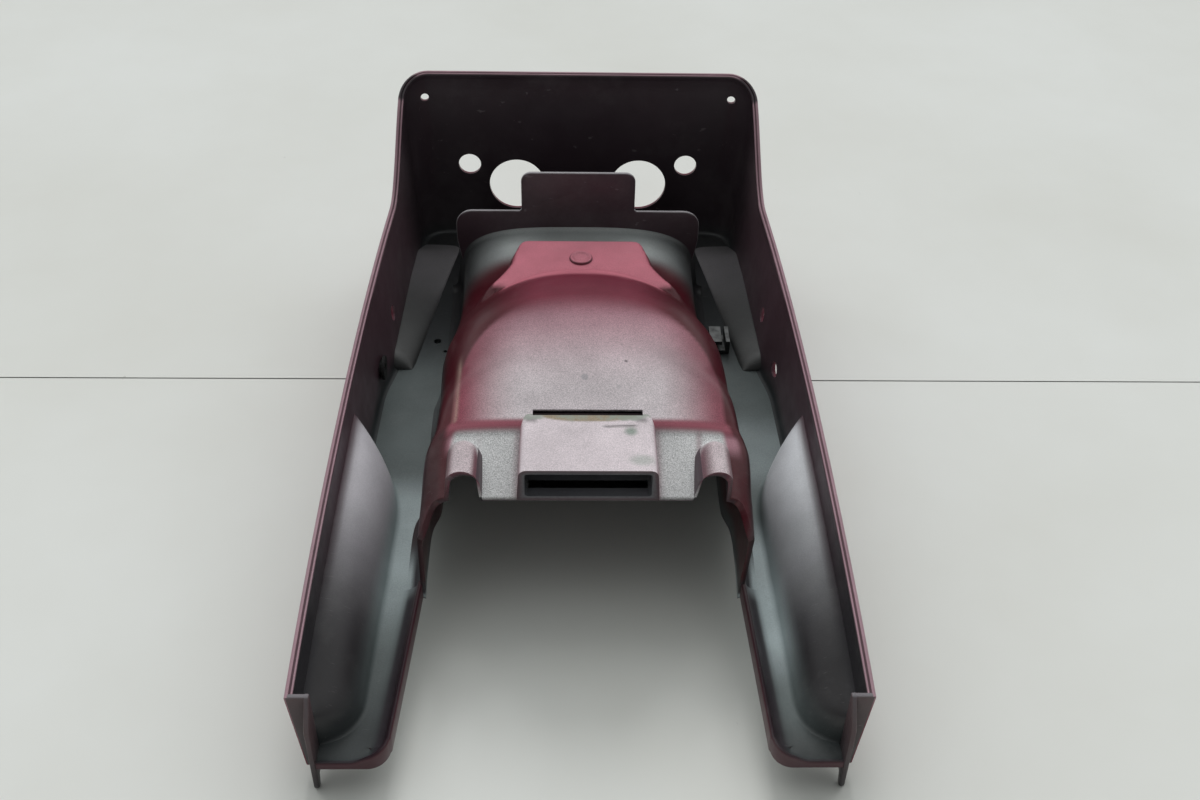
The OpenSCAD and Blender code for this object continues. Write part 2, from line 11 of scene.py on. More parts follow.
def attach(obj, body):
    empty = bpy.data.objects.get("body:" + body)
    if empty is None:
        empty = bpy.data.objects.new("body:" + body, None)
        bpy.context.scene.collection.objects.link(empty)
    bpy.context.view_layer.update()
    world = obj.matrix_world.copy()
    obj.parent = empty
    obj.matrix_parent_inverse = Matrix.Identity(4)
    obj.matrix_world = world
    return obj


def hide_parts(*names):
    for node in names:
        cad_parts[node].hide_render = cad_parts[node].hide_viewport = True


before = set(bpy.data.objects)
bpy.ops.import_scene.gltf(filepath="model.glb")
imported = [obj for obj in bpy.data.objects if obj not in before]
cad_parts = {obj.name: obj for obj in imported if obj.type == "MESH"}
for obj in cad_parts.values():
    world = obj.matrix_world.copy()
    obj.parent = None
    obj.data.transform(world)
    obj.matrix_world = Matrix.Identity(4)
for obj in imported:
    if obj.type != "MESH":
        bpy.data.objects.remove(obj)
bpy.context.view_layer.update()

# Outer wall
LENGTH = 550.0
WALL = 3.0
FRONT_WIDTH = 321.0
TAIL_WIDTH = 286.0
FRONT_HEIGHT = 65.5
SIDE_HEIGHT = 106.0
TAIL_HEIGHT = 177.0
SWEEP = 96.0
CORNER_R = 24.0
CORNER_Y = LENGTH - CORNER_R
FRONT_FOOT = 310.0
TAIL_FOOT = 267.0
FOOT_STEP = 9.0
WALL_FRONT = 12.0
# Side scoops
SCOOP_DEPTH = 28.0
SCOOP_DROP = 24.0
SCOOP_REAR = 244.0
SCOOP_REAR_ROUND = 56.0
SCOOP_FRONT_ROUND = 28.0
SCOOP_START = WALL_FRONT + 3.0
# Channel floor
FLOOR_FRONT = 21.0
FLOOR_TAIL = 27.0
FLOOR_INSET = 0.8
ARM_GAP = 107.0
ARM_CORNER = 12.0
LIP_HEIGHT = 9.5
LEDGE_START = 353.0
LEDGE_HEIGHT = 11.0
LEDGE_WIDTH = 13.0
LEDGE_SPREAD = 0.115
LEDGE_FULLNESS = 0.4
CLIP_AT = 389.0
CLIP_GAP = 17.2
DRAIN_AT = 376.0
DRAIN_GAP = 10.5
# Front tongues
TONGUE_HALF = 150.0
TONGUE_HEIGHT = 51.0
TONGUE_TIP = 5.0
# Wheel arch
ARCH_FRONT = 127.0
FLANGE_FRONT = 152.0
FLANGE_DEPTH = 38.0
FLANGE_FOOT = FLANGE_FRONT + FLANGE_DEPTH
FLANGE_HEIGHT = 83.0
FLANGE_RISE = 17.0
FLANGE_HALF = 102.5
ARCH_HALF = 99.5
TAIL_HALF = 91.0
ARCH_LEAN = 1.0
ARCH_SET = 5.8
CROWN = 129.0
CROWN_AT = 302.0
DOME_ROUND = 36.0
PAD_HEIGHT = 108.0
PAD_HALF = 44.0
PAD_REAR = 405.0
PAD_CORNER_R = 5.0
PAD_FALL = 60.0
PAD_STEP = 12.0
PAD_FLANK = 20.0
DECK = 85.0
RIDGE_AT = 78.5
RIDGE_R = 10.0
RIDGE_HEIGHT = 104.0
FRONT_FALL = 7.0
# Seat socket
SOCKET_HALF = 44.0
SOCKET_TOP = 106.5
SOCKET_BASE = 82.5
SOCKET_R = 5.0
SOCKET_FRONT = 150.0
SOCKET_REAR = 207.0
SOCKET_DRAW = 1.2
TUNNEL_LOW = 85.5
TUNNEL_HIGH = 103.5
SLOT_HALF = 35.0
# Upright plate
UPRIGHT = 458.0
SHOULDER_HEIGHT = 102.0
SHOULDER_HALF = 96.5
SHOULDER_R = 13.0
TAB_HEIGHT = 136.0
TAB_HALF = 44.5
TAB_R = 8.0
# Holes on each side: place, radius and number of facets in the tail wall, and places in the side wall
TAIL_HOLES = [(51.5, 75.0, 23.4, 72), (91.0, 94.0, 9.35, 48), (125.0, TAIL_HEIGHT - 22, 3.3, 32)]
SIDE_HOLES = [(331.0, 44.0), (384.0, 56.0)]
SIDE_HOLE_R = 6.0
CLIP_HOLE_R = 3.0
DRAIN_R = 1.5


def srgb(r, g, b):
    """Linear colour of an 8-bit display colour: ((c / 255 + 0.055) / 1.055) to the power 2.4."""
    c = np.array([r, g, b], float) / 255
    return np.where(c <= 0.04045, c / 12.92, ((c + 0.055) / 1.055) ** 2.4)


def place(x, y, z):
    """Millimetres counted from the front tips, as points of the frame in metres."""
    x, y, z = np.broadcast_arrays(x, y, z)
    return np.stack([x, y - LENGTH / 2, z], -1) * 0.001


def mix(a, b, t):
    """Straight step from a to b: a + (b - a) times t."""
    return a + (b - a) * t


def rise(a, b, v):
    """Smooth step: t squared times (3 - 2t), with t from 0 at a to 1 at b."""
    t = np.clip((v - a) / (b - a), 0, 1)
    return t * t * (3 - 2 * t)


def round_off(a, b, v):
    """Quarter circle: the root of (1 - t squared), with t from 0 at a to 1 at b."""
    t = np.clip((v - a) / (b - a), 0, 1)
    return np.sqrt(1 - t * t)


def soft_max(a, b, blend):
    """Half of a + b plus the root of (a - b) squared + blend squared: the larger, with a round join."""
    return (a + b + np.sqrt((a - b) ** 2 + blend**2)) / 2


def curve(points, v):
    """Smooth curve through [place, value] points: cubic pieces with slopes from the neighbours."""
    p = np.array(points, float)
    xs, ys = p[:, 0], p[:, 1]
    v = np.clip(v, xs[0], xs[-1])
    last = len(xs) - 1
    before = np.maximum(np.arange(last + 1) - 1, 0)
    after = np.minimum(np.arange(last + 1) + 1, last)
    slope = (ys[after] - ys[before]) / (xs[after] - xs[before])
    k = np.clip(np.searchsorted(xs, v, "right") - 1, 0, last - 1)
    w = xs[k + 1] - xs[k]
    t = (v - xs[k]) / w
    return (
        (2 * t**3 - 3 * t**2 + 1) * ys[k]
        + (t**3 - 2 * t**2 + t) * slope[k] * w
        + (3 * t**2 - 2 * t**3) * ys[k + 1]
        + (t**3 - t**2) * slope[k + 1] * w
    )


# Forms of the moulding


def floor_z(y):
    """Height of the channel floor: a straight rise from the front to the tail."""
    return FLOOR_FRONT + (FLOOR_TAIL - FLOOR_FRONT) / (LENGTH - WALL) * y


def side_top(y):
    """Top edge of a side wall: a slow rise to the side height, then the sweep up to the tail."""
    near = 1 - np.maximum(0, 1 - y / (LENGTH - 1.35 * SWEEP)) ** 1.7
    swept = (TAIL_HEIGHT - 5 - SIDE_HEIGHT) * rise(LENGTH - SWEEP, LENGTH, y)
    return FRONT_HEIGHT + (SIDE_HEIGHT - FRONT_HEIGHT) * near + swept


def scoop(y, z):
    """Inward push of the scoop: a quarter round towards both ends and up to its upper edge."""
    front = SCOOP_START + SCOOP_FRONT_ROUND
    rear = SCOOP_REAR - SCOOP_REAR_ROUND
    along = np.where(y < front, round_off(front, SCOOP_START, y), round_off(rear, SCOOP_REAR, y))
    return SCOOP_DEPTH * along * round_off(floor_z(y), side_top(y) - SCOOP_DROP, z)


def side_x(y, z):
    """Half-width over the outside: a straight lean from foot to top edge, less the scoop."""
    t = np.maximum(0, y / LENGTH)
    top = mix(FRONT_WIDTH, TAIL_WIDTH, t**1.7) / 2
    foot = mix(FRONT_FOOT, TAIL_FOOT + 2 * FOOT_STEP, t) / 2
    foot = foot - FOOT_STEP * rise(LEDGE_START - 38, LEDGE_START + 12, y)
    return mix(foot, top, z / side_top(y)) - scoop(y, z)


def wall_bottom(y):
    """The skirt: at the floor's underside along the scoop, and on the ground behind it."""
    under = (floor_z(y) - WALL - 1) * mix(0.4, 1, rise(WALL_FRONT, WALL_FRONT + 20, y))
    return under * (1 - rise(SCOOP_REAR - 24, SCOOP_REAR + 12, y))


def arch_half(y):
    """Half-width of the arch over its shoulders, as a smooth curve from the flange to the upright plate."""
    return curve(
        [
            [ARCH_FRONT, FLANGE_HALF],
            [FLANGE_FRONT + 4, FLANGE_HALF + 1],
            [FLANGE_FOOT - 4, FLANGE_HALF + 0.5],
            [FLANGE_FOOT + 14, ARCH_HALF - 1],
            [CROWN_AT, ARCH_HALF],
            [CROWN_AT + 25, ARCH_HALF - 4.5],
            [CROWN_AT + 50, ARCH_HALF - 7],
            [CROWN_AT + 76, TAIL_HALF],
            [UPRIGHT, TAIL_HALF],
        ],
        y,
    )


def arch_foot(y):
    """Half-width of the arch at the floor: its shoulders' half-width less the lean of its sides."""
    return arch_half(y) - mix(ARCH_LEAN, -2, rise(CROWN_AT, PAD_REAR, y))


def arch_set(y, z):
    """Sideways set of the arch to the right, most at the flange and less at the floor and the tail."""
    ahead = np.minimum(1, (np.maximum(0, y) / FLANGE_FRONT) ** 0.8)
    back = 1 - 0.74 * rise(CROWN_AT - 60, PAD_REAR - 20, y) - 0.3 * rise(PAD_REAR, UPRIGHT, y)
    up = np.clip((z - FLOOR_FRONT) / (RIDGE_HEIGHT - FLOOR_FRONT), 0, 1)
    return ARCH_SET * ahead * back * (0.3 + 0.7 * up)


def arch_middle(y):
    """Height along the arch's middle: flange, riser, dome, fall and deck."""
    top = FLANGE_HEIGHT + FLANGE_RISE
    drop = CROWN - DECK
    return curve(
        [
            [FLANGE_FRONT, FLANGE_HEIGHT],
            [FLANGE_FOOT, top],
            [FLANGE_FOOT + 5, top + 3.8],
            [FLANGE_FOOT + 14, top + 6.7],
            [mix(FLANGE_FOOT, CROWN_AT, 0.5), mix(top, CROWN, 0.78)],
            [CROWN_AT, CROWN],
            [CROWN_AT + 30, CROWN - 0.1 * drop],
            [CROWN_AT + 44, CROWN - 0.22 * drop],
            [CROWN_AT + 59, CROWN - 0.41 * drop],
            [CROWN_AT + 76, CROWN - 0.7 * drop],
            [PAD_REAR + 6, DECK + 2.5],
            [UPRIGHT, DECK],
        ],
        y,
    )


def arch_shoulder(y):
    """Height of the shoulders, where the sides end: lower under the dome and lower again under the pad."""
    lower = 17 * rise(FLANGE_FOOT, CROWN_AT - 10, y) + 15 * rise(CROWN_AT + 25, PAD_REAR + 8, y)
    return FLANGE_HEIGHT - 6 - lower


def arch_square(y):
    """How square the section is, from 5 at the flange to a fuller curve over the dome."""
    return (
        5
        - 2.7 * rise(FLANGE_FOOT, CROWN_AT - 42, y)
        - 0.3 * rise(CROWN_AT + 30, PAD_REAR - 20, y)
        + 1.2 * rise(PAD_REAR - 12, UPRIGHT - 12, y)
    )


def pad_z(x, y):
    """Flat pad with flared front sides, round rear corners, and a fall that is wider at its flanks."""
    flare = 22 * np.maximum(0, (CROWN_AT + 78 - y) / 42) ** 1.5
    half = PAD_HALF + 3 + flare - 3 * rise(CROWN_AT + 84, PAD_REAR, y)
    out = np.maximum(0, np.abs(x) - half + PAD_CORNER_R)
    back = np.maximum(0, y - PAD_REAR + PAD_CORNER_R)
    side_width = PAD_FLANK * (2 - rise(CROWN_AT + 60, PAD_REAR - 5, y))
    width = (side_width * out**2 + PAD_STEP * back**2) / np.maximum(0.01, out**2 + back**2)
    distance = np.hypot(out, back) - PAD_CORNER_R
    fall = PAD_FALL * rise(0, 1, distance / np.maximum(1, width))
    return PAD_HEIGHT - fall - 40 * (1 - rise(CROWN_AT + 10, CROWN_AT + 50, y))


def ridge_z(x, y):
    """Half-round ridge: a cylinder's height over its foot, which ends as a quarter sphere at the rear."""
    d = np.abs(np.abs(x) - RIDGE_AT)
    e = np.maximum(0, y - (FLANGE_FOOT - 3 - RIDGE_R))
    h = np.clip(RIDGE_R**2 - d**2 - e**2, 0, None)
    return np.where(h > 0, RIDGE_HEIGHT - RIDGE_R + np.sqrt(h), 0)


def arch_z(x, y):
    """Upper face of the arch: a squared ellipse over the shoulders, joined softly to pad and ridges.

    The ellipse's height is (1 - f to the power n) to the power 1 / n. Outside the ridges it falls a
    little more towards the front.
    """
    f = np.minimum(1, np.abs(x) / arch_half(y))
    n = arch_square(y)
    low = arch_shoulder(y)
    fade = rise(CROWN_AT - 60, CROWN_AT, y) * (1 - rise(PAD_REAR - 30, PAD_REAR, y))
    back = y + DOME_ROUND * f**2.5 * fade
    shell = low + (arch_middle(back) - low) * (1 - f**n) ** (1 / n)
    shell = soft_max(shell, pad_z(x, y), 1.6)
    shell = shell - FRONT_FALL * rise(0.86, 1, f) * (1 - rise(FLANGE_FRONT + 6, FLANGE_FOOT - 2, y))
    return np.where(y < FLANGE_FOOT, soft_max(shell, ridge_z(x, y), 1.2), shell)


def arm_inner(y):
    """Inner edge of an arm: straight from the gap at the front to the foot of the arch."""
    return mix(ARM_GAP, arch_foot(ARCH_FRONT) - WALL / 2, np.clip(y / ARCH_FRONT, 0, 1))


# Meshes


def new_piece(name, verts, faces):
    """A mesh object in the scene, with its doubles merged and its faces turned outwards."""
    mesh = bpy.data.meshes.new(name)
    mesh.from_pydata(verts.tolist(), [], faces)
    shape = bmesh.new()
    shape.from_mesh(mesh)
    bmesh.ops.remove_doubles(shape, verts=shape.verts, dist=1e-6)
    bmesh.ops.recalc_face_normals(shape, faces=shape.faces)
    shape.to_mesh(mesh)
    shape.free()
    piece = bpy.data.objects.new(name, mesh)
    bpy.context.scene.collection.objects.link(piece)
    return piece


def quads(rows, cols, start, wrap):
    """Corner numbers of the cells of a grid of points, row by row."""
    r, c = np.meshgrid(np.arange(rows - 1), np.arange(cols if wrap else cols - 1), indexing="ij")
    a = start + r * cols + c
    b = start + r * cols + (c + 1) % cols
    return np.stack([a, b, b + cols, a + cols], -1).reshape(-1, 4).tolist()


def skin(name, outer, inner):
    """Closed wall between two grids of points with the same rows and columns."""
    rows, cols = outer.shape[:2]
    n = rows * cols
    faces = quads(rows, cols, 0, False) + quads(rows, cols, n, False)
    edge = np.concatenate(
        [
            np.arange(cols - 1),
            np.arange(rows - 1) * cols + cols - 1,
            np.arange(n - 1, n - cols, -1),
            np.arange(rows - 1, 0, -1) * cols,
        ]
    )
    after = np.roll(edge, -1)
    faces += np.stack([edge, after, after + n, edge + n], -1).tolist()
    return new_piece(name, np.concatenate([outer.reshape(-1, 3), inner.reshape(-1, 3)]), faces)


def sweep(name, rings):
    """Closed tube through rings of points, with a flat face at each end."""
    rows, cols = rings.shape[:2]
    faces = quads(rows, cols, 0, True)
    faces.append(list(range(cols)))
    faces.append(list(range((rows - 1) * cols, rows * cols)))
    return new_piece(name, rings.reshape(-1, 3), faces)


def finish_modifiers(piece):
    """The piece's mesh becomes what its modifiers make of it."""
    graph = bpy.context.evaluated_depsgraph_get()
    mesh = bpy.data.meshes.new_from_object(piece.evaluated_get(graph))
    piece.modifiers.clear()
    piece.data = mesh


def round_edges(piece, width, segments=2):
    """Rounds every edge sharper than 50 degrees by a width in millimetres."""
    bevel = piece.modifiers.new("round edges", "BEVEL")
    bevel.width = width * 0.001
    bevel.segments = segments
    bevel.limit_method = "ANGLE"
    bevel.angle_limit = np.radians(50)
    finish_modifiers(piece)


def cut(piece, *cutters):
    """Takes the cutters' solids out of the piece."""
    for tool in cutters:
        take = piece.modifiers.new("cut", "BOOLEAN")
        take.operation = "DIFFERENCE"
        take.solver = "EXACT"
        take.object = tool
        finish_modifiers(piece)
    for tool in cutters:
        bpy.data.objects.remove(tool)


def rod(centre, axis, radius, long, sides=72):
    """Cylinder about a centre, along X, Y or Z, for boring a hole."""
    a = np.linspace(0, 2 * np.pi, sides, endpoint=False)
    circle = {"X": (0, 1, 2), "Y": (1, 2, 0), "Z": (2, 0, 1)}[axis]
    rings = np.zeros((2, sides, 3))
    for end in (0, 1):
        rings[end, :, circle[0]] = (end - 0.5) * long
        rings[end, :, circle[1]] = radius * np.cos(a)
        rings[end, :, circle[2]] = radius * np.sin(a)
    rings = rings + np.array(centre, float)
    return sweep("bore", place(rings[..., 0], rings[..., 1], rings[..., 2]))


def steps(*stops):
    """Places from one stop to the next: each stop is (place, number of steps to it)."""
    out = [np.array([stops[0]])]
    at = stops[0]
    for to, count in stops[1:]:
        out.append(np.linspace(at, to, count + 1)[1:])
        at = to
    return np.concatenate(out)


def arc(centre, radius, count):
    """Quarter circle of points about a centre, from straight out to straight up."""
    a = np.linspace(0, np.pi / 2, count)
    return np.array(centre) + radius * np.stack([np.cos(a), np.sin(a)], 1)


QUARTER = np.linspace(0, np.pi / 2, 9)
# Section of the wall's top edge: height from the edge, and depth from the outer face
RIM = [(-0.25, 0.2), (0, 0.8), (0, 1.5), (-0.3, 2.0), (-1.7, 2.2), (-1.9, 2.6), (-1.7, 3.0)]
BEAD = [(-0.7, 3.2), (-0.5, 3.6), (-0.7, 4.2), (-1.5, 4.5), (-3, 4.3), (-5, 3.4), (-6.5, WALL)]


def wall_stations():
    """Kind, place and side of every section of the wall, from the left front end round to the right.

    The stations crowd together where the scoop's ends are round: they follow a sine or cosine there.
    """
    front = SCOOP_START + SCOOP_FRONT_ROUND
    rear = SCOOP_REAR - SCOOP_REAR_ROUND
    side = np.concatenate(
        [
            [WALL_FRONT, WALL_FRONT + 1.5],
            SCOOP_START + SCOOP_FRONT_ROUND * (1 - np.cos(np.linspace(0, np.pi / 2, 15))),
            np.linspace(front, rear, 40)[1:],
            rear + SCOOP_REAR_ROUND * np.sin(np.linspace(0, np.pi / 2, 22))[1:],
            np.linspace(SCOOP_REAR, CORNER_Y, 74)[1:],
        ]
    )
    turn = np.linspace(0, np.pi / 2, 13)[1:]
    across = np.linspace(1, 0, 28)[1:]
    kind = np.concatenate([np.zeros(len(side)), np.ones(len(turn)), np.full(len(across), 2)])
    at = np.concatenate([side, turn, across])
    back = slice(len(kind) - 2, None, -1)
    return (
        np.concatenate([kind, kind[back]]),
        np.concatenate([at, at[back]]),
        np.concatenate([-np.ones(len(kind)), np.ones(len(kind) - 1)]),
    )


def wall_points(kind, at, side, z, depth):
    """Points set in by a depth from the wall's outer face: side wall, round corner or flat tail.

    The corner is a quarter circle about a centre that lies its radius in from both outer faces.
    """
    kind, at, side = kind[:, None], at[:, None], side[:, None]
    y = np.where(kind == 0, at, CORNER_Y)
    outside = side_x(y, z)
    centre = outside - CORNER_R
    radius = CORNER_R - depth
    x = np.where(kind == 0, outside - depth, np.where(kind == 1, centre + radius * np.cos(at), centre * at))
    y = np.where(kind == 0, at, np.where(kind == 1, CORNER_Y + radius * np.sin(at), LENGTH - depth))
    return place(side * x, y, z)


def outer_wall():
    """The wall's section, carried round its path.

    The section goes up the outer face, over a rounded rim, through the groove and the inner bead of the
    top edge, down the inner face and round a small foot on to the floor.
    """
    kind, at, side = wall_stations()
    y = np.where(kind == 0, at, CORNER_Y)
    turned = np.sin(np.where(kind == 1, at, np.pi / 2))
    top = np.where(kind == 0, side_top(y), mix(side_top(CORNER_Y), TAIL_HEIGHT, turned))
    low = np.where(kind == 0, wall_bottom(at), 0)
    floor = floor_z(np.where(kind == 0, at, LENGTH - WALL))
    high = side_top(y) - SCOOP_DROP
    foot = 3.0
    z, depth = [], []

    def add(height, inset):
        """One more point of the section, for every station."""
        z.append(np.broadcast_to(height, top.shape))
        depth.append(np.full(top.shape, float(inset)))

    add(low + 0.6, 0)
    for t in np.linspace(0.25, 1, 4):
        add(mix(low + 0.6, floor, t), 0)
    for a in np.linspace(0, np.pi / 2, 15)[1:]:
        add(floor + (high - floor) * np.sin(a), 0)
    for t in (0.15, 0.4, 0.7, 1):
        add(mix(high, top - 0.8, t), 0)
    for up, inset in RIM + BEAD:
        add(top + up, inset)
    for t in (0.3, 0.65, 1):
        add(mix(top - 6.5, high, t), WALL)
    for a in np.linspace(np.pi / 2, 0, 15)[1:-1]:
        add(floor + foot + (high - floor - foot) * np.sin(a), WALL)
    for a in np.linspace(0, np.pi / 2, 6):
        add(floor + foot * (1 - np.sin(a)), WALL + foot * (1 - np.cos(a)))
    add(floor - 1.2, WALL + foot)
    add(floor - 1.6, WALL)
    add(np.minimum(low + 0.6, floor - 1.7), WALL)
    add(low, WALL - 0.6)
    add(low, 0.6)
    shell = sweep("wall", wall_points(kind, at, side, np.stack(z, 1), np.stack(depth, 1)))
    cut(shell, *wall_bores())
    return shell


def wall_bores():
    """Cylinders of the holes in the tail wall and the side walls."""
    tools = []
    for s in (-1, 1):
        for x, z, radius, sides in TAIL_HOLES:
            tools.append(rod((s * x, LENGTH, z), "Y", radius, 20, sides))
        for y, z in SIDE_HOLES:
            tools.append(rod((s * side_x(y, z), y, z), "X", SIDE_HOLE_R, 24, 40))
    return tools


def arm_floor(s):
    """Floor of one arm and channel: a flat slab from inside the wall to inside the lip or the arch.

    Its front corner is a quarter circle, and the clip hole and the drain go through it.
    """
    arc = ARM_CORNER - 2
    y = np.concatenate(
        [
            FLOOR_INSET + 2 + arc * (1 - np.cos(np.linspace(0, np.pi / 2, 8))),
            np.linspace(FLOOR_INSET + 2 + arc, ARCH_FRONT, 30)[1:],
            np.linspace(ARCH_FRONT, UPRIGHT, 60)[1:],
        ]
    )
    fall = np.clip((FLOOR_INSET + 2 + arc - y) / arc, 0, 1)
    corner = arc * (1 - np.sqrt(1 - fall**2))
    inner = np.where(y < ARCH_FRONT, arm_inner(y) + 2 + corner, arch_foot(y) - WALL / 2)
    wall_side = side_x(y, floor_z(y)) - WALL / 2
    outer = np.where(y < WALL_FRONT + 4, np.minimum(wall_side, TONGUE_HALF - WALL / 2), wall_side)
    t = np.linspace(0, 1, 14)[None, :]
    x = s * mix(inner[:, None], outer[:, None], t) + arch_set(y, 0)[:, None] * (1 - t)
    z = floor_z(y)[:, None]
    slab = skin("arm floor", place(x, y[:, None], z), place(x, y[:, None], z - WALL))
    clip_hole = arch_foot(CLIP_AT) + CLIP_GAP
    cut(slab, rod((s * clip_hole, CLIP_AT, floor_z(CLIP_AT)), "Z", CLIP_HOLE_R, 12, 40))
    if s < 0:
        drain = arch_foot(DRAIN_AT) + DRAIN_GAP
        cut(slab, rod((s * drain, DRAIN_AT, floor_z(DRAIN_AT)), "Z", DRAIN_R, 12, 24))
    return slab


def pocket_floor():
    """Floor of the pocket behind the upright plate, with its corners inside the wall's round corners."""
    r = CORNER_R - WALL / 2
    turn = np.sin(np.linspace(0, np.pi / 2, 10)[1:])
    y = np.concatenate([np.linspace(UPRIGHT, CORNER_Y, 20), CORNER_Y + r * turn])
    cx = side_x(np.minimum(y, CORNER_Y), floor_z(y)) - CORNER_R
    half = cx + np.sqrt(np.clip(r**2 - np.maximum(0, y - CORNER_Y) ** 2, 0, None))
    x = half[:, None] * np.linspace(-1, 1, 40)[None, :]
    z = floor_z(y)[:, None]
    return skin("pocket floor", place(x, y[:, None], z), place(x, y[:, None], z - WALL))


def arm_lip(s):
    """Turned-up lip along an arm's inner edge, round its front corner and fading along its front edge.

    Its section is carried along the edge: up the free face, over a round crest and down a hollow
    quarter curve on to the floor.
    """
    along = np.linspace(ARCH_FRONT + 3, ARM_CORNER + FLOOR_INSET, 46)
    turn = np.linspace(0, np.pi / 2, 12)[1:]
    front = np.linspace(0, 1, 16)[1:]
    cx = ARM_GAP + ARM_CORNER
    cy = ARM_CORNER + FLOOR_INSET
    x = np.concatenate([arm_inner(along), cx - ARM_CORNER * np.cos(turn), mix(cx, TONGUE_HALF - 2, front)])
    y = np.concatenate([along, cy - ARM_CORNER * np.sin(turn), np.full(len(front), FLOOR_INSET)])
    nx = np.concatenate([np.ones(len(along)), np.cos(turn), np.zeros(len(front))])
    ny = np.concatenate([np.zeros(len(along)), np.sin(turn), np.ones(len(front))])
    last = mix(0.5, 1, np.minimum(1, 3 * front))
    run = np.concatenate([np.zeros(len(along)), np.linspace(0, 0.5, len(turn)), last])
    height = mix(LIP_HEIGHT, 2.2, rise(0.05, 1, run))
    reach = mix(12.0, 4.0, rise(0, 0.8, run))
    floor = floor_z(y)
    d, z = [], []
    for inset, up in ((0.5, -WALL), (0, -WALL + 0.5)):
        d.append(np.full(len(x), inset))
        z.append(floor + up)
    for inset, down in ((0, 1.4), (0.35, 0.5), (1.1, 0), (1.9, 0.1), (2.6, 0.7)):
        d.append(np.full(len(x), inset))
        z.append(floor + height - down)
    for a in QUARTER:
        d.append(WALL + reach * (1 - np.cos(a)))
        z.append(floor + (height - 1.6) * (1 - np.sin(a)) + 0.05)
    for inset, up in ((WALL + 1, -1.5), (WALL, -WALL)):
        d.append(np.full(len(x), inset))
        z.append(floor + up)
    d, z = np.stack(d, 1), np.stack(z, 1)
    px = s * (x[:, None] + nx[:, None] * d) + arch_set(y, 0)[:, None]
    return sweep("arm lip", place(px, y[:, None] + ny[:, None] * d, z))


def rear_ledge(s):
    """Rounded ledge along the wall's foot, wider towards the tail, round at its start and fading out.

    Its height falls from the wall to the floor: part straight slope, part quarter round.
    """
    start = LEDGE_START + 12 * (1 - np.cos(np.linspace(0, np.pi / 2, 10)))
    y = np.concatenate([start, np.linspace(LEDGE_START + 12, CORNER_Y + 4, 50)[1:]])
    t = np.sin(np.linspace(np.pi / 2, 0, 22))[None, :]
    z = floor_z(y)[:, None]
    height = LEDGE_HEIGHT * round_off(LEDGE_START + 12, LEDGE_START, np.minimum(y, LEDGE_START + 12))
    height = (height * (1 - rise(CORNER_Y - 30, CORNER_Y + 3, y)))[:, None]
    out = side_x(y, floor_z(y))[:, None] - WALL / 2
    width = (LEDGE_WIDTH + (y - LEDGE_START) * LEDGE_SPREAD)[:, None]
    x = s * (out - (width + WALL / 2) * t)
    top = z - 0.2 + height * mix(1 - t, np.sqrt(1 - t**2), LEDGE_FULLNESS)
    low = np.broadcast_to(z - 1.5, x.shape)
    return skin("rear ledge", place(x, y[:, None], top), place(x, y[:, None], low))


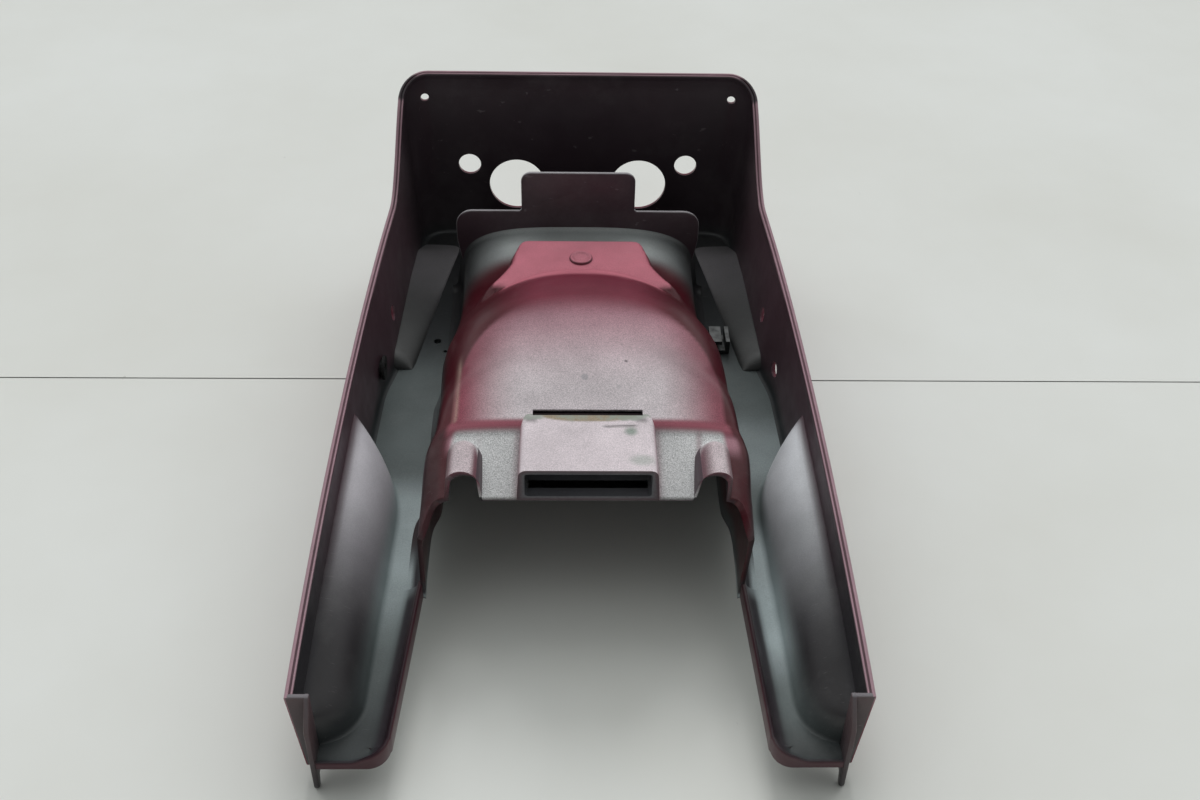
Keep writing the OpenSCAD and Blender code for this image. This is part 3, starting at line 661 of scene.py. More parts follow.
def wheel_arch():
    """The arch in one skin, with a hollow foot on to the floor and a hollow join to the upright plate.

    Rows run from the front edge to the upright plate, columns from the left foot over the top to the right
    foot. The join turns each point of the last section along its own normal by a quarter circle.
    """
    ridge_out = (RIDGE_AT + RIDGE_R) / FLANGE_HALF
    ridge_in = (RIDGE_AT - RIDGE_R) / FLANGE_HALF
    half_columns = np.concatenate(
        [
            np.sin(np.linspace(np.pi / 2, np.arcsin(0.93), 10)),
            np.linspace(0.93, ridge_out, 5)[1:],
            (ridge_out + ridge_in) / 2 + (ridge_out - ridge_in) / 2 * np.cos(np.linspace(0, np.pi, 17))[1:],
            np.linspace(ridge_in, 0, 34)[1:],
        ]
    )
    f = np.concatenate([-half_columns, half_columns[-2::-1]])
    join = 5.0
    rows = steps(
        FLANGE_FRONT,
        (FLANGE_FRONT + 2, 2),
        (FLANGE_FOOT - 14, 12),
        (FLANGE_FOOT, 14),
        (FLANGE_FOOT + 16, 12),
        (CROWN_AT + 20, 34),
        (PAD_REAR - 4, 34),
        (PAD_REAR + 10, 12),
        (UPRIGHT - join, 14),
    )
    t = ((rows - FLANGE_FRONT) / (rows[-1] - FLANGE_FRONT))[:, None]
    edge = mix(FLANGE_FRONT, ARCH_FRONT, rise(0.9, 1, np.abs(f)) ** 2)[None, :]
    y = mix(edge, rows[-1], t)
    half = arch_half(y)
    x = f[None, :] * half
    z = arch_z(x, y)
    inner_x = f[None, :] * (half - WALL)
    inner_z = z - WALL * (1 - (np.abs(f) > 0.9999))[None, :]

    def foot(s):
        """Columns of one side wall: a hollow quarter curve up from the floor, then up to the shoulder."""
        ys = y[:, 0]
        floor = floor_z(ys)
        reach, rise_z = 9.0, 9.0
        shoulder = z[:, 0]
        wall_top = arch_half(ys)
        lean = wall_top - arch_foot(ys)
        xs, zs, ixs, izs = [], [], [], []
        for a in QUARTER[::-1]:
            out = reach * (1 - np.cos(a))
            up = floor + rise_z * (1 - np.sin(a)) + 0.04
            xs.append(arch_foot(ys) + out)
            zs.append(up)
            ixs.append(arch_foot(ys) - WALL)
            izs.append(mix(floor - WALL - 1, floor + rise_z, 1 - a / (np.pi / 2)))
        for k in np.linspace(0, 1, 10)[1:-1]:
            up = mix(floor + rise_z, shoulder, k)
            xs.append(arch_foot(ys) + lean * k)
            zs.append(up)
            ixs.append(arch_foot(ys) - WALL + lean * k)
            izs.append(up)
        stack = [s * np.stack(xs, 1), np.stack(zs, 1), s * np.stack(ixs, 1), np.stack(izs, 1)]
        return stack if s < 0 else [part[:, ::-1] for part in stack]

    left, right = foot(-1), foot(1)
    count = left[0].shape[1]
    y = np.concatenate([np.repeat(y[:, :1], count, 1), y, np.repeat(y[:, -1:], count, 1)], 1)
    x = np.concatenate([left[0], x, right[0]], 1)
    z = np.concatenate([left[1], z, right[1]], 1)
    inner_x = np.concatenate([left[2], inner_x, right[2]], 1)
    inner_z = np.concatenate([left[3], inner_z, right[3]], 1)

    dx, dz = np.gradient(x[-1]), np.gradient(z[-1])
    size = np.hypot(dx, dz)
    angle = np.linspace(0, np.pi / 2, 7)[1:, None]
    lift = join * (1 - np.cos(angle))
    x = np.concatenate([x, x[-1] - dz / size * lift])
    z = np.concatenate([z, z[-1] + dx / size * lift])
    more = np.repeat(UPRIGHT - join + (join + 1) * np.sin(angle), y.shape[1], 1)
    y = np.concatenate([y, more])
    inner_x = np.concatenate([inner_x, np.repeat(inner_x[-1:], len(angle), 0)])
    inner_z = np.concatenate([inner_z, np.repeat(inner_z[-1:], len(angle), 0)])
    shell = skin(
        "arch",
        place(x + arch_set(y, z), y, z),
        place(inner_x + arch_set(y, inner_z), y, inner_z),
    )
    round_edges(shell, 0.7)
    cut(shell, socket_tunnel(), socket_slot())
    return shell


SOCKET_X = float(arch_set(FLANGE_FRONT, FLANGE_HEIGHT))


def bar(name, half, low, high, front, rear, corner):
    """Bar along Y over a section with round corners, about the socket's middle."""
    out = arc((half - corner, (high - low) / 2 - corner), corner, 7)
    turns = [out, out[::-1] * [-1, 1], out * [-1, -1], out[::-1] * [1, -1]]
    ring = np.concatenate(turns) + [0, (high + low) / 2]
    y = np.array([front, rear], float)
    return sweep(name, place(SOCKET_X + ring[None, :, 0], y[:, None], ring[None, :, 1]))


def socket_tunnel():
    """The hollow that the seat's tongue enters from the front."""
    half = SOCKET_HALF - WALL - 2
    return bar("tunnel", half, TUNNEL_LOW, TUNNEL_HIGH, SOCKET_FRONT - 4, SOCKET_REAR - WALL, 2.0)


def socket_slot():
    """The narrow opening across the rear of the socket's top."""
    return bar("slot", SLOT_HALF, 90, 125, SOCKET_REAR - 4.4, SOCKET_REAR - 0.3, 1.0)


def seat_socket():
    """Socket block: its section has round upper edges and sides that draw in a little towards the top."""
    flat = SOCKET_HALF - SOCKET_DRAW - SOCKET_R
    edge = arc((flat, SOCKET_TOP - SOCKET_R), SOCKET_R, 8)
    right = np.concatenate([[[SOCKET_HALF, SOCKET_BASE], [SOCKET_HALF - 0.3, SOCKET_BASE + 6]], edge])
    across = np.linspace(1, -1, 50)[1:-1, None] * [flat, 0] + [0, SOCKET_TOP]
    ring = np.concatenate([right, across, right[::-1] * [-1, 1]])
    y = np.linspace(SOCKET_FRONT, SOCKET_REAR, 48)
    block = sweep("socket", place(SOCKET_X + ring[None, :, 0], y[:, None], ring[None, :, 1]))
    cut(block, socket_tunnel(), socket_slot())
    round_edges(block, 0.7)
    return block


def plate(name, outline, y_front, thick, shift=0.0):
    """Upright sheet with an outline of X and Z points."""
    ring = np.array(outline, float)
    y = np.array([y_front, y_front + thick])
    return sweep(name, place(shift + ring[None, :, 0], y[:, None], ring[None, :, 1]))


def upright_plate():
    """Plate across the rear of the arch: waisted foot, round shoulders and a round-cornered tab."""
    low = float(floor_z(UPRIGHT)) - WALL - 1
    waist = [[TAIL_HALF + 1, low], [TAIL_HALF + 1, 45], [TAIL_HALF + 2.4, 57], [SHOULDER_HALF, 76]]
    shoulder = arc((SHOULDER_HALF - SHOULDER_R, SHOULDER_HEIGHT - SHOULDER_R), SHOULDER_R, 9)
    notch = [[TAB_HALF + 1.5, SHOULDER_HEIGHT], [TAB_HALF, SHOULDER_HEIGHT + 1.5]]
    tab = arc((TAB_HALF - TAB_R, TAB_HEIGHT - TAB_R), TAB_R, 9)
    right = np.concatenate([waist, shoulder, notch, tab])
    outline = np.concatenate([right, right[::-1] * [-1, 1]])
    sheet = plate("upright", outline, UPRIGHT, WALL, float(arch_set(UPRIGHT, SHOULDER_HEIGHT)))
    round_edges(sheet, 1.0)
    return sheet


def tongue(s):
    """Front tongue: a sheet that stands ahead of the wall's end, seen from the side as an outline."""
    top = float(side_top(WALL_FRONT))
    low = float(wall_bottom(WALL_FRONT))
    foot = [[TONGUE_TIP, 0], [1.5, 0], [0.3, 1.4], [0, 3]]
    front = [[0, TONGUE_HEIGHT], [WALL_FRONT, top]]
    rear = [[WALL_FRONT + WALL, top], [WALL_FRONT + WALL, low], [TONGUE_TIP + 2, low]]
    ring = np.array(foot + front + rear)
    x = np.repeat([[TONGUE_HALF - WALL], [TONGUE_HALF]], len(ring), 1)
    sheet = sweep("tongue", place(s * x, ring[None, :, 0], ring[None, :, 1]))
    round_edges(sheet, 0.8)
    return sheet


def joggle(s):
    """Web that joins the wall's front end to the tongue, a step to the inside."""
    top = float(side_top(WALL_FRONT))
    low = float(wall_bottom(WALL_FRONT))
    inner = TONGUE_HALF - 1.5
    outer_low = float(side_x(WALL_FRONT, low)) - 0.4
    outer_top = float(side_x(WALL_FRONT, top)) - 0.4
    outline = np.array([[inner, low], [outer_low, low], [outer_top, top], [inner, top]]) * [s, 1]
    web = plate("joggle", outline, WALL_FRONT - 0.2, WALL)
    round_edges(web, 0.8)
    return web


def turned(name, centre, profile, sides=64):
    """Solid of revolution about a vertical axis: radius and height pairs, closed at both ends."""
    a = np.linspace(0, 2 * np.pi, sides, endpoint=False)
    r = np.array(profile)[:, :1]
    z = np.array(profile)[:, 1:]
    x = centre[0] + r * np.cos(a)
    y = centre[1] + r * np.sin(a)
    return sweep(name, place(x, y, np.broadcast_to(centre[2] + z, x.shape)))


# Half of the boss's section: radius, and height over the pad
BOSS_RISE = [(8.6, -1), (8.6, 0.2), (8.3, 1.3), (7.6, 1.9), (6.8, 2.0)]
BOSS_DISH = [(6.0, 1.6), (5.0, 0.8), (3.4, 0.6), (1.8, 1.0), (0.1, 1.2)]


def pad_boss():
    """Round boss on the pad, with a raised rim round a shallow dish."""
    y = PAD_REAR - 24
    return turned("boss", (float(arch_set(y, PAD_HEIGHT)), y, PAD_HEIGHT), BOSS_RISE + BOSS_DISH)


# Colours of the moulding, worked out from place and facing

# Paint, with painted sheen, highlights and shade among its colours
BURGUNDY = srgb(118, 44, 62)
DEEP_RED = srgb(76, 11, 25)
# The crown and field colours carry painted sheen and highlights; the field is partly worn paint as well.
CROWN_RED = srgb(116, 38, 58)
FIELD_TOP = srgb(136, 60, 78)
FIELD_ROSE = srgb(140, 62, 80)
FIELD_PINK = srgb(188, 142, 154)
FIELD_PALE = srgb(216, 206, 210)
WORN_TAN = srgb(176, 150, 138)
RISER_ROSE = srgb(140, 72, 86)
STRIP_RED = srgb(58, 20, 27)
CORNER_HIGHLIGHT = srgb(170, 120, 133)
FLANGE_SHEEN_AND_WEAR = srgb(206, 206, 207)
RIDGE_PINK = srgb(196, 160, 170)
RIDGE_SIDE_SHADE = srgb(104, 46, 62)
RIDGE_SHADE = srgb(110, 84, 90)
CREASE_SHADE_ROSE = srgb(126, 84, 96)
PAD_TOP_SHEEN = srgb(186, 108, 123)
BOSS_LIT_TOP = srgb(184, 112, 126)
BOSS_SHADED_RIM = srgb(92, 44, 56)
FLANK_RED = srgb(46, 26, 30)
RIM_HIGHLIGHT = srgb(162, 130, 140)
LIP_RED = srgb(84, 34, 46)
CREST_FRONT_SHADE = srgb(34, 17, 25)
CREST_LEFT = srgb(70, 48, 52)
CREST_RIGHT = srgb(90, 76, 78)
SOCKET_SIDE = srgb(148, 112, 122)
SOCKET_TOP_SHEEN_AND_WEAR = srgb(218, 207, 212)
SOCKET_FACE = srgb(84, 62, 70)
SOCKET_INSIDE = srgb(92, 92, 97)
SOCKET_WORN = srgb(152, 138, 112)
SOCKET_NICK = srgb(62, 60, 58)
SOCKET_SPOT = srgb(150, 160, 152)
# Bare plastic, with painted shade at the front and painted highlights on the plate's edges
PLASTIC = srgb(66, 50, 58)
PLASTIC_FRONT_SHADE = srgb(38, 36, 40)
PLASTIC_MIDDLE = srgb(78, 58, 66)
PLASTIC_TAIL = srgb(52, 42, 48)
PLATE = srgb(66, 47, 55)
PLATE_EDGE_HIGHLIGHT = srgb(172, 170, 174)
TONGUE = srgb(80, 62, 65)
TONGUE_EDGE = srgb(112, 108, 112)
TONGUE_FOOT = srgb(40, 36, 40)
# Dust, with painted sheen and painted shade
SHADE = srgb(28, 25, 28)
BULGE_DUST_AND_SHEEN_LEFT = srgb(190, 187, 193)
BULGE_DUST_AND_SHEEN_RIGHT = srgb(220, 222, 227)
FLOOR_GREY = srgb(92, 100, 100)
FLOOR_SHEEN = srgb(164, 176, 178)
FLOOR_FRONT_SHADE = srgb(50, 54, 55)
FLOOR_SHADE_DARK = srgb(46, 49, 51)
LIP_HOLLOW_SHADE = srgb(46, 42, 46)
LEDGE_FRONT = srgb(56, 57, 57)
LEDGE_REAR = srgb(116, 113, 116)
LEDGE_CROWN_HIGHLIGHT = srgb(92, 93, 93)
DECK_DARK = srgb(62, 64, 65)
DECK_LIGHT = srgb(158, 163, 163)
FOOT_FRONT = srgb(66, 70, 71)
FOOT_REAR = srgb(46, 46, 48)
FOOT_EDGE = srgb(50, 46, 50)


def blend(colour, to, share):
    """Colours from one towards another: colour + (to - colour) times a share for each point."""
    return colour + (to - colour) * np.asarray(share)[..., None]


def band(a, b, c, d, v):
    """1 between b and c, with a smooth step up from a and a smooth step down to d."""
    return rise(a, b, v) * (1 - rise(c, d, v))


def bell(v, middle, width):
    """Bell curve: e to the power of minus ((v - middle) / width) squared."""
    return np.exp(-(((v - middle) / width) ** 2))


def spot(u, v):
    """Round spot with a soft edge: e to the power of minus (u squared + v squared) squared."""
    return np.exp(-((u**2 + v**2) ** 2))


def wall_tone(x, y, z, n):
    """Black inside and darker towards the front, a painted shade; burgundy outside; a painted highlight
    along the rim; darker along the inner foot, a painted shade; and a bulge with dust and a painted sheen
    on what faces up, darkening to painted shade towards the front.

    The rim is the last 2.4 mm under the top edge. Round a tail corner that edge rises with the sine of
    the turn.
    """
    turned = np.sin(np.arccos(np.clip((LENGTH - y) / CORNER_R, 0, 1))) * (y > CORNER_Y)
    top = mix(side_top(np.minimum(y, CORNER_Y)), TAIL_HEIGHT, turned)
    outside = np.where(y > CORNER_Y, n[:, 1] > 0.2, np.sign(x) * n[:, 0] > 0.2).astype(float)
    # A painted highlight along the rim: the last 2.4 mm under the top edge, on what faces up.
    rim = rise(-2.4, -1.0, z - top) * (n[:, 2] > 0.2)
    # Painted shade: the inner face darkens towards the front.
    colour = blend(PLASTIC_FRONT_SHADE, PLASTIC_MIDDLE, rise(60, 230, y))
    colour = blend(colour, PLASTIC_TAIL, rise(CORNER_Y - 60, CORNER_Y, y))
    bulge = rise(0.5, 7, scoop(y, z)) * (y < SCOOP_REAR)
    # Bulge: dust with a painted sheen on what faces up, lighter on the right, and painted shade towards the
    # front.
    dusty = np.where((x > 0)[:, None], BULGE_DUST_AND_SHEEN_RIGHT, BULGE_DUST_AND_SHEEN_LEFT)
    dusty = blend(SHADE, dusty, rise(20, 215, y) ** 2.2)
    colour = blend(colour, dusty, bulge * rise(-0.4, 0.3, n[:, 2]))
    foot = 1 - rise(3, 20, z - floor_z(y))
    colour = blend(colour, floor_tone(x, y, z, n)[0], bulge * foot * (1 - outside))
    # Painted shade along the inner foot of the wall, by the floor.
    colour = blend(colour, FLOOR_SHADE_DARK, (1 - rise(26, 40, z)) * (1 - outside) * (1 - bulge))
    colour = blend(colour, BURGUNDY, outside)
    colour = blend(colour, RIM_HIGHLIGHT, rim)
    return colour, np.maximum(0.6 * outside, 0.3 * rim), 0.2, 0


def floor_tone(x, y, z, n):
    """Dusty grey floor with a painted sheen beside the arch's front, and painted shade under the tail and
    at the front.

    The sheen and shade stretches are smooth steps along Y, at other places on the left than on the right.
    """
    # Painted sheen: lighter stretches of the floor, placed differently on each side.
    left = 0.85 * band(80, 160, 205, 242, y)
    right = 0.9 * band(45, 95, 160, 200, y) + 0.5 * band(215, 245, 270, 310, y)
    colour = blend(FLOOR_GREY, FLOOR_SHEEN, np.where(x < 0, left, right))
    # Painted shade at the front.
    colour = blend(colour, FLOOR_FRONT_SHADE, np.where(x < 0, 1 - rise(15, 105, y), 1 - rise(5, 45, y)))
    # Painted shade towards the tail, deepest under the upright plate.
    colour = blend(colour, FLOOR_SHADE_DARK, rise(330, 400, y))
    return blend(colour, SHADE, 0.5 * rise(420, 470, y)), 0, 0.3, 0


def lip_tone(x, y, z, n):
    """Painted shade in the hollow at the floor, then dark burgundy over the crest and down the free face;
    the crest has a painted sheen that fades to painted shade towards the front.
    """
    up = z - floor_z(y)
    free = ((np.sign(x) * n[:, 0] < -0.5) | (n[:, 1] < -0.5)).astype(float)
    colour = floor_tone(x, y, z, n)[0]
    # Painted shade in the hollow between floor and lip.
    colour = blend(colour, LIP_HOLLOW_SHADE, rise(0.1, 1.6, up) * (1 - 0.5 * rise(118, 130, y)))
    # Painted sheen on the crest, lighter on the right, fading to painted shade towards the front.
    worn = np.where((x > 0)[:, None], CREST_RIGHT, CREST_LEFT)
    crest = blend(CREST_FRONT_SHADE, worn, rise(50, 180, y))
    colour = blend(colour, crest, np.maximum(free, rise(1.5, LIP_HEIGHT - 3, up)))
    return blend(colour, LIP_RED, 0.5 * free), 0.3 * free, 0.15, 0


def ledge_tone(x, y, z, n):
    """Dark ledge that pales to the rear, with a painted highlight along its crown near its front end."""
    colour = blend(LEDGE_FRONT, LEDGE_REAR, rise(380, 500, y))
    # Painted highlight on the crown, where it faces up.
    crown = rise(0.6, 1, n[:, 2]) * (1 - rise(360, 480, y))
    return blend(colour, LEDGE_CROWN_HIGHLIGHT, crown), 0, 0.25, 0


def highlight_and_wear_patch(f, y):
    """1 inside the dome's pale field, a painted highlight of the overhead light on partly worn paint: sharp
    flanks, a straight front and a soft top.

    The field ends where (f / 0.88) to the power 2.5, plus the share of 100 mm along Y to the power 4, is 1.
    """
    field = (np.abs(f) / 0.88) ** 2.5 + (np.maximum(0, y - FLANGE_FOOT - 10) / 100) ** 4
    soft = mix(0.34, 0.05, rise(0.35, 0.72, np.abs(f)))
    return (1 - rise(1 - soft, 1 + soft, field)) * rise(FLANGE_FOOT + 7, FLANGE_FOOT + 10, y)


def dome_paint(y, f, off):
    """Deep red dome: a red crown lighter along its middle as a painted sheen, a pale field from pale over
    pink to rose that is a painted highlight on partly worn paint, and a tan line on its left.
    """
    field = highlight_and_wear_patch(f, y)
    # The pale field is a painted highlight of the overhead light on partly worn paint.
    tone = blend(FIELD_PALE, FIELD_PINK, rise(CROWN_AT - 87, CROWN_AT - 10, y))
    tone = blend(tone, FIELD_ROSE, rise(0.42, 0.88, f) * np.where(off < 0, 1.0, 0.95))
    tone = blend(tone, FIELD_TOP, 0.8 * rise(CROWN_AT - 24, CROWN_AT, y))
    # A lighter red along the crown's middle: painted sheen.
    crown = band(CROWN_AT - 20, CROWN_AT, CROWN_AT + 34, CROWN_AT + 50, y)
    colour = blend(DEEP_RED, CROWN_RED, crown * (1 - rise(0.3, 0.7, f)))
    colour = blend(colour, tone, field)
    line = bell(f, 0.865, 0.014) * (off < 0)
    line = line * band(FLANGE_FOOT + 8, FLANGE_FOOT + 12, CROWN_AT - 47, CROWN_AT - 27, y)
    return blend(colour, WORN_TAN, 0.6 * line), field


def front_paint(colour, x, y, z, n, f, off):
    """Rose riser, dark strip on the left, and a grey flange of worn paint with a painted sheen, with
    painted highlights on its corners, painted shade on the ridges' sides, and painted shade in the creases
    at the feet of ridges and socket.
    """
    riser = band(FLANGE_FOOT, FLANGE_FOOT + 3, FLANGE_FOOT + 8, FLANGE_FOOT + 12, y)
    colour = blend(colour, RISER_ROSE, riser * (1 - rise(0.88, 0.92, f)))
    strip = rise(0.87, 0.92, f) * (1 - rise(FLANGE_FOOT, FLANGE_FOOT + 14, y)) * (off < 0)
    colour = blend(colour, STRIP_RED, 0.85 * strip)
    # Painted highlight on the flange's rounded outer corners.
    corner = band(FLANGE_FOOT - 14, FLANGE_FOOT - 3, FLANGE_FOOT, FLANGE_FOOT + 4, y)
    colour = blend(colour, CORNER_HIGHLIGHT, corner * (1 - rise(0.9, 0.95, f + 0.06 * (off < 0))))
    # Grey flange: worn paint with a painted sheen.
    flange = (1 - rise(FLANGE_FOOT + 1, FLANGE_FOOT + 5, y)) * (1 - rise(0.82, 0.86, f))
    colour = blend(colour, FLANGE_SHEEN_AND_WEAR, flange)
    over_flange = z - FLANGE_RISE * rise(FLANGE_FRONT, FLANGE_FOOT, y)
    ridge = flange * rise(FLANGE_HEIGHT + 2, FLANGE_HEIGHT + 8, over_flange)
    colour = blend(colour, RIDGE_PINK, 0.45 * ridge)
    # Painted shade on the ridges' steep sides, and on the inner side of the right ridge.
    colour = blend(colour, RIDGE_SIDE_SHADE, ridge * (1 - rise(0.55, 0.9, n[:, 2])))
    colour = blend(colour, RIDGE_SHADE, 0.7 * ridge * (off > 0) * rise(0.1, 0.6, -n[:, 0]))
    # Painted shade in the creases at the feet of the ridges and the socket.
    ridge_foot = bell(np.abs(off), RIDGE_AT - RIDGE_R + 1, 2) * np.where(off < 0, 0.2, 1)
    socket_foot = bell(np.abs(x - SOCKET_X), SOCKET_HALF, 2)
    hollow = np.minimum(1, ridge_foot + socket_foot)
    return blend(colour, CREASE_SHADE_ROSE, 0.5 * hollow * flange), flange, strip


def rear_paint(colour, y, z, f, off):
    """Dusty deck behind the dome, with a sprayed burgundy region round the pad, whose flat top is painted
    pink as a sheen, and painted shade on the arch's shoulders.

    The spray falls off with the distance from the pad, which counts less than half to the sides.
    """
    rear = rise(CROWN_AT + 50, CROWN_AT + 70, y)
    aside = 0.45 * np.maximum(0, np.abs(off) - PAD_HALF) * rise(PAD_REAR - 35, PAD_REAR, y)
    bare = rear * rise(12, 29, np.hypot(aside, np.maximum(0, y - PAD_REAR + 6)))
    light = rise(PAD_REAR - 30, UPRIGHT - 20, y) * (1 - rise(0.5, 1, f))
    colour = blend(colour, blend(DECK_DARK, DECK_LIGHT, light), bare)
    pad = rise(PAD_HEIGHT - 2.5, PAD_HEIGHT - 0.8, z) * rise(CROWN_AT + 34, CROWN_AT + 44, y)
    # The pad's flat top is painted pink as a sheen.
    colour = blend(colour, PAD_TOP_SHEEN, pad)
    # Painted shade on the arch's steep shoulders.
    return blend(colour, FLANK_RED, rise(0.95, 1.0, f) * (1 - rear)), bare, pad


def foot_paint(colour, x, y, z, n, off):
    """Dusty foot along the floor, darker near the front edge and as light as the floor where it ends."""
    up = z - floor_z(y)
    reach = mix(16, 26, rise(250, 330, y))
    low = 1 - rise(0.15 * reach, reach, up)
    low = low * (1 - 0.8 * (off < 0) * band(150, 180, 240, 300, y))
    colour = blend(colour, blend(FOOT_FRONT, FOOT_REAR, rise(340, 400, y)), low)
    near = 1 - rise(140, 170, y)
    colour = blend(colour, FOOT_EDGE, near * (1 - rise(7, 12, up)))
    return blend(colour, floor_tone(x, y, z, n)[0], near * (1 - rise(0.1, 1.2, up))), low


def arch_tone(x, y, z, n):
    """Burgundy arch, painted in the order dome, front, rear and foot, with bare plastic on its underside.

    Each part's share comes from f, which is 0 along the arch's own middle and 1 at its shoulders.
    """
    off = x - arch_set(y, z)
    f = np.abs(off) / arch_half(y)
    colour, field = dome_paint(y, f, off)
    colour, flange, strip = front_paint(colour, x, y, z, n, f, off)
    colour, bare, pad = rear_paint(colour, y, z, f, off)
    colour, low = foot_paint(colour, x, y, z, n, off)
    under = (n[:, 2] < -0.1).astype(float)
    colour = blend(colour, PLASTIC, under)
    metal = (0.35 + 0.3 * field - 0.05 * pad) * (1 - low) * (1 - under) * (1 - bare) * (1 - 0.7 * strip)
    return colour, metal, 0.3 + 0.6 * flange + 0.3 * field, 0.25 * flange * (off < 0)


def socket_tone(x, y, z, n):
    """Pale top of worn paint with a painted sheen, pink-grey sides, dark burgundy front face and a dark
    inside.

    The worn streak at the top's rear edge is half an ellipse. A scratch and two nicks are bell curves.
    """
    off = x - SOCKET_X
    ahead = SOCKET_REAR - 5 - y
    top = rise(0.3, 0.8, n[:, 2])
    # The top is worn paint with a painted sheen, paler than the sides.
    colour = blend(SOCKET_SIDE, SOCKET_TOP_SHEEN_AND_WEAR, top)
    streak = 5.5 * np.sqrt(np.maximum(0, 1 - ((off - 1) / 30) ** 2))
    worn = (1 - rise(streak - 0.6, streak + 0.8, ahead)) * (np.abs(off - 1) < 30)
    colour = blend(colour, SOCKET_WORN, 0.9 * worn * top)
    scratch = bell(ahead + 0.05 * off, 11, 0.9) * band(8, 12, 28, 33, off)
    nicks = bell(ahead, 4, np.sqrt(6)) * band(30, 33, 37, 40, np.abs(off + 1))
    colour = blend(colour, SOCKET_NICK, np.minimum(1, 0.8 * scratch + 0.6 * nicks) * top)
    spots = spot((off - 27) / 4, (ahead - 15) / 4) + 0.6 * spot((off - 33) / 8, (ahead - 42) / 5)
    colour = blend(colour, SOCKET_SPOT, np.minimum(1, spots) * top)
    colour = blend(colour, SOCKET_FACE, (n[:, 1] < -0.5).astype(float))
    inside = ((z < 103.8) & (np.abs(off) < SOCKET_HALF - WALL - 1.8)).astype(float)
    colour = blend(colour, SOCKET_INSIDE, inside)
    return colour, 0.3 * (1 - inside), 0.5, 0.6 * top * rise(SOCKET_REAR - 22, SOCKET_REAR - 4, y)


def upright_tone(x, y, z, n):
    """Dark burgundy-black plate with painted highlights on its edges."""
    # Painted highlights on the edges that face up or sideways.
    edge = rise(0.5, 0.9, n[:, 2]) + rise(0.6, 0.9, np.abs(n[:, 0]))
    return blend(PLATE, PLATE_EDGE_HIGHLIGHT, np.clip(edge, 0, 1) * 0.8), 0.1, 0.15, 0


def tongue_tone(x, y, z, n):
    """Dark red-brown tongue with a paler top edge and a black foot."""
    colour = blend(TONGUE, TONGUE_EDGE, rise(0.4, 0.9, n[:, 2]) * rise(30, 50, z))
    return blend(colour, TONGUE_FOOT, 1 - rise(6, 20, z)), 0.1, 0.15, 0


def boss_tone(x, y, z, n):
    """Pink top with a painted sheen and a deeper rim with painted shade."""
    # Painted sheen on the top and painted shade on the steeper rim.
    return blend(BOSS_LIT_TOP, BOSS_SHADED_RIM, 1 - rise(0.5, 0.95, n[:, 2])), 0.4, 0.3, 0


TONES = {
    "wall": wall_tone,
    "floor": floor_tone,
    "lip": lip_tone,
    "ledge": ledge_tone,
    "arch": arch_tone,
    "socket": socket_tone,
    "upright": upright_tone,
    "tongue": tongue_tone,
    "boss": boss_tone,
}


def store(mesh, name, kind, values):
    """Writes one value, or one colour, for each point of the mesh."""
    layer = mesh.attributes.new(name, kind, "POINT")
    if kind == "FLOAT_COLOR":
        values = np.concatenate([values, np.ones((len(values), 1))], 1)
        layer.data.foreach_set("color", values.astype(np.float32).ravel())
    else:
        layer.data.foreach_set("value", values.astype(np.float32))


def colour_points(piece, kind):
    """Works out the colour of each point, and how metallic, speckled and worn it is."""
    mesh = piece.data
    count = len(mesh.vertices)
    co = np.zeros(count * 3, np.float32)
    mesh.vertices.foreach_get("co", co)
    normal = np.zeros(count * 3, np.float32)
    mesh.vertex_normals.foreach_get("vector", normal)
    p = co.reshape(-1, 3).astype(float) * 1000
    p[:, 1] += LENGTH / 2
    colour, *shares = TONES[kind](*p.T, normal.reshape(-1, 3).astype(float))
    store(mesh, "tone", "FLOAT_COLOR", np.clip(colour, 0, 1))
    for name, values in zip(("metal", "speckle", "wear"), shares):
        store(mesh, name, "FLOAT", np.clip(np.broadcast_to(values, count), 0, 1))


# Materials

DUST = tuple(srgb(150, 150, 148))
HAIR_SCRATCH = tuple(srgb(170, 165, 165))
WORN_PATCH = tuple(srgb(150, 158, 148))
RUBBER_DARK = tuple(srgb(18, 18, 19))
RUBBER_DUSTY = tuple(srgb(46, 46, 46))
CLIP_BLACK = tuple(srgb(26, 26, 27))
CLIP_DUST = tuple(srgb(128, 130, 130))
TABLE_PALE = tuple(srgb(214, 216, 213))
TABLE_STAIN = tuple(srgb(206, 207, 202))
TABLE_MARK = tuple(srgb(120, 118, 112))
FLAKES = 1500
GRAIN = 900
HAIR_STRETCH = (30, 600, 60)
MARK_STRETCH = (60, 16, 1)


def material(name):
    """A new material with one Principled shader to fill."""
    made = bpy.data.materials.new(name)
    made.use_nodes = True
    tree = made.node_tree
    tree.nodes.clear()
    out = tree.nodes.new("ShaderNodeOutputMaterial")
    shader = tree.nodes.new("ShaderNodeBsdfPrincipled")
    tree.links.new(shader.outputs[0], out.inputs[0])
    where = tree.nodes.new("ShaderNodeTexCoord").outputs["Object"]
    return made, tree, shader, where


def noise(tree, where, scale, detail=2.0, rough=0.5):
    """Noise from 0 to 1, with its coarsest features about 1 m / scale in size."""
    made = tree.nodes.new("ShaderNodeTexNoise")
    made.inputs["Scale"].default_value = scale
    made.inputs["Detail"].default_value = detail
    made.inputs["Roughness"].default_value = rough
    tree.links.new(where, made.inputs["Vector"])
    return made.outputs["Fac"]


def combine(tree, a, b, operation="ADD"):
    """One Math node: each side is a socket or a number."""
    made = tree.nodes.new("ShaderNodeMath")
    made.operation = operation
    for k, value in enumerate((a, b)):
        if isinstance(value, bpy.types.NodeSocket):
            tree.links.new(value, made.inputs[k])
        else:
            made.inputs[k].default_value = value
    return made.outputs[0]


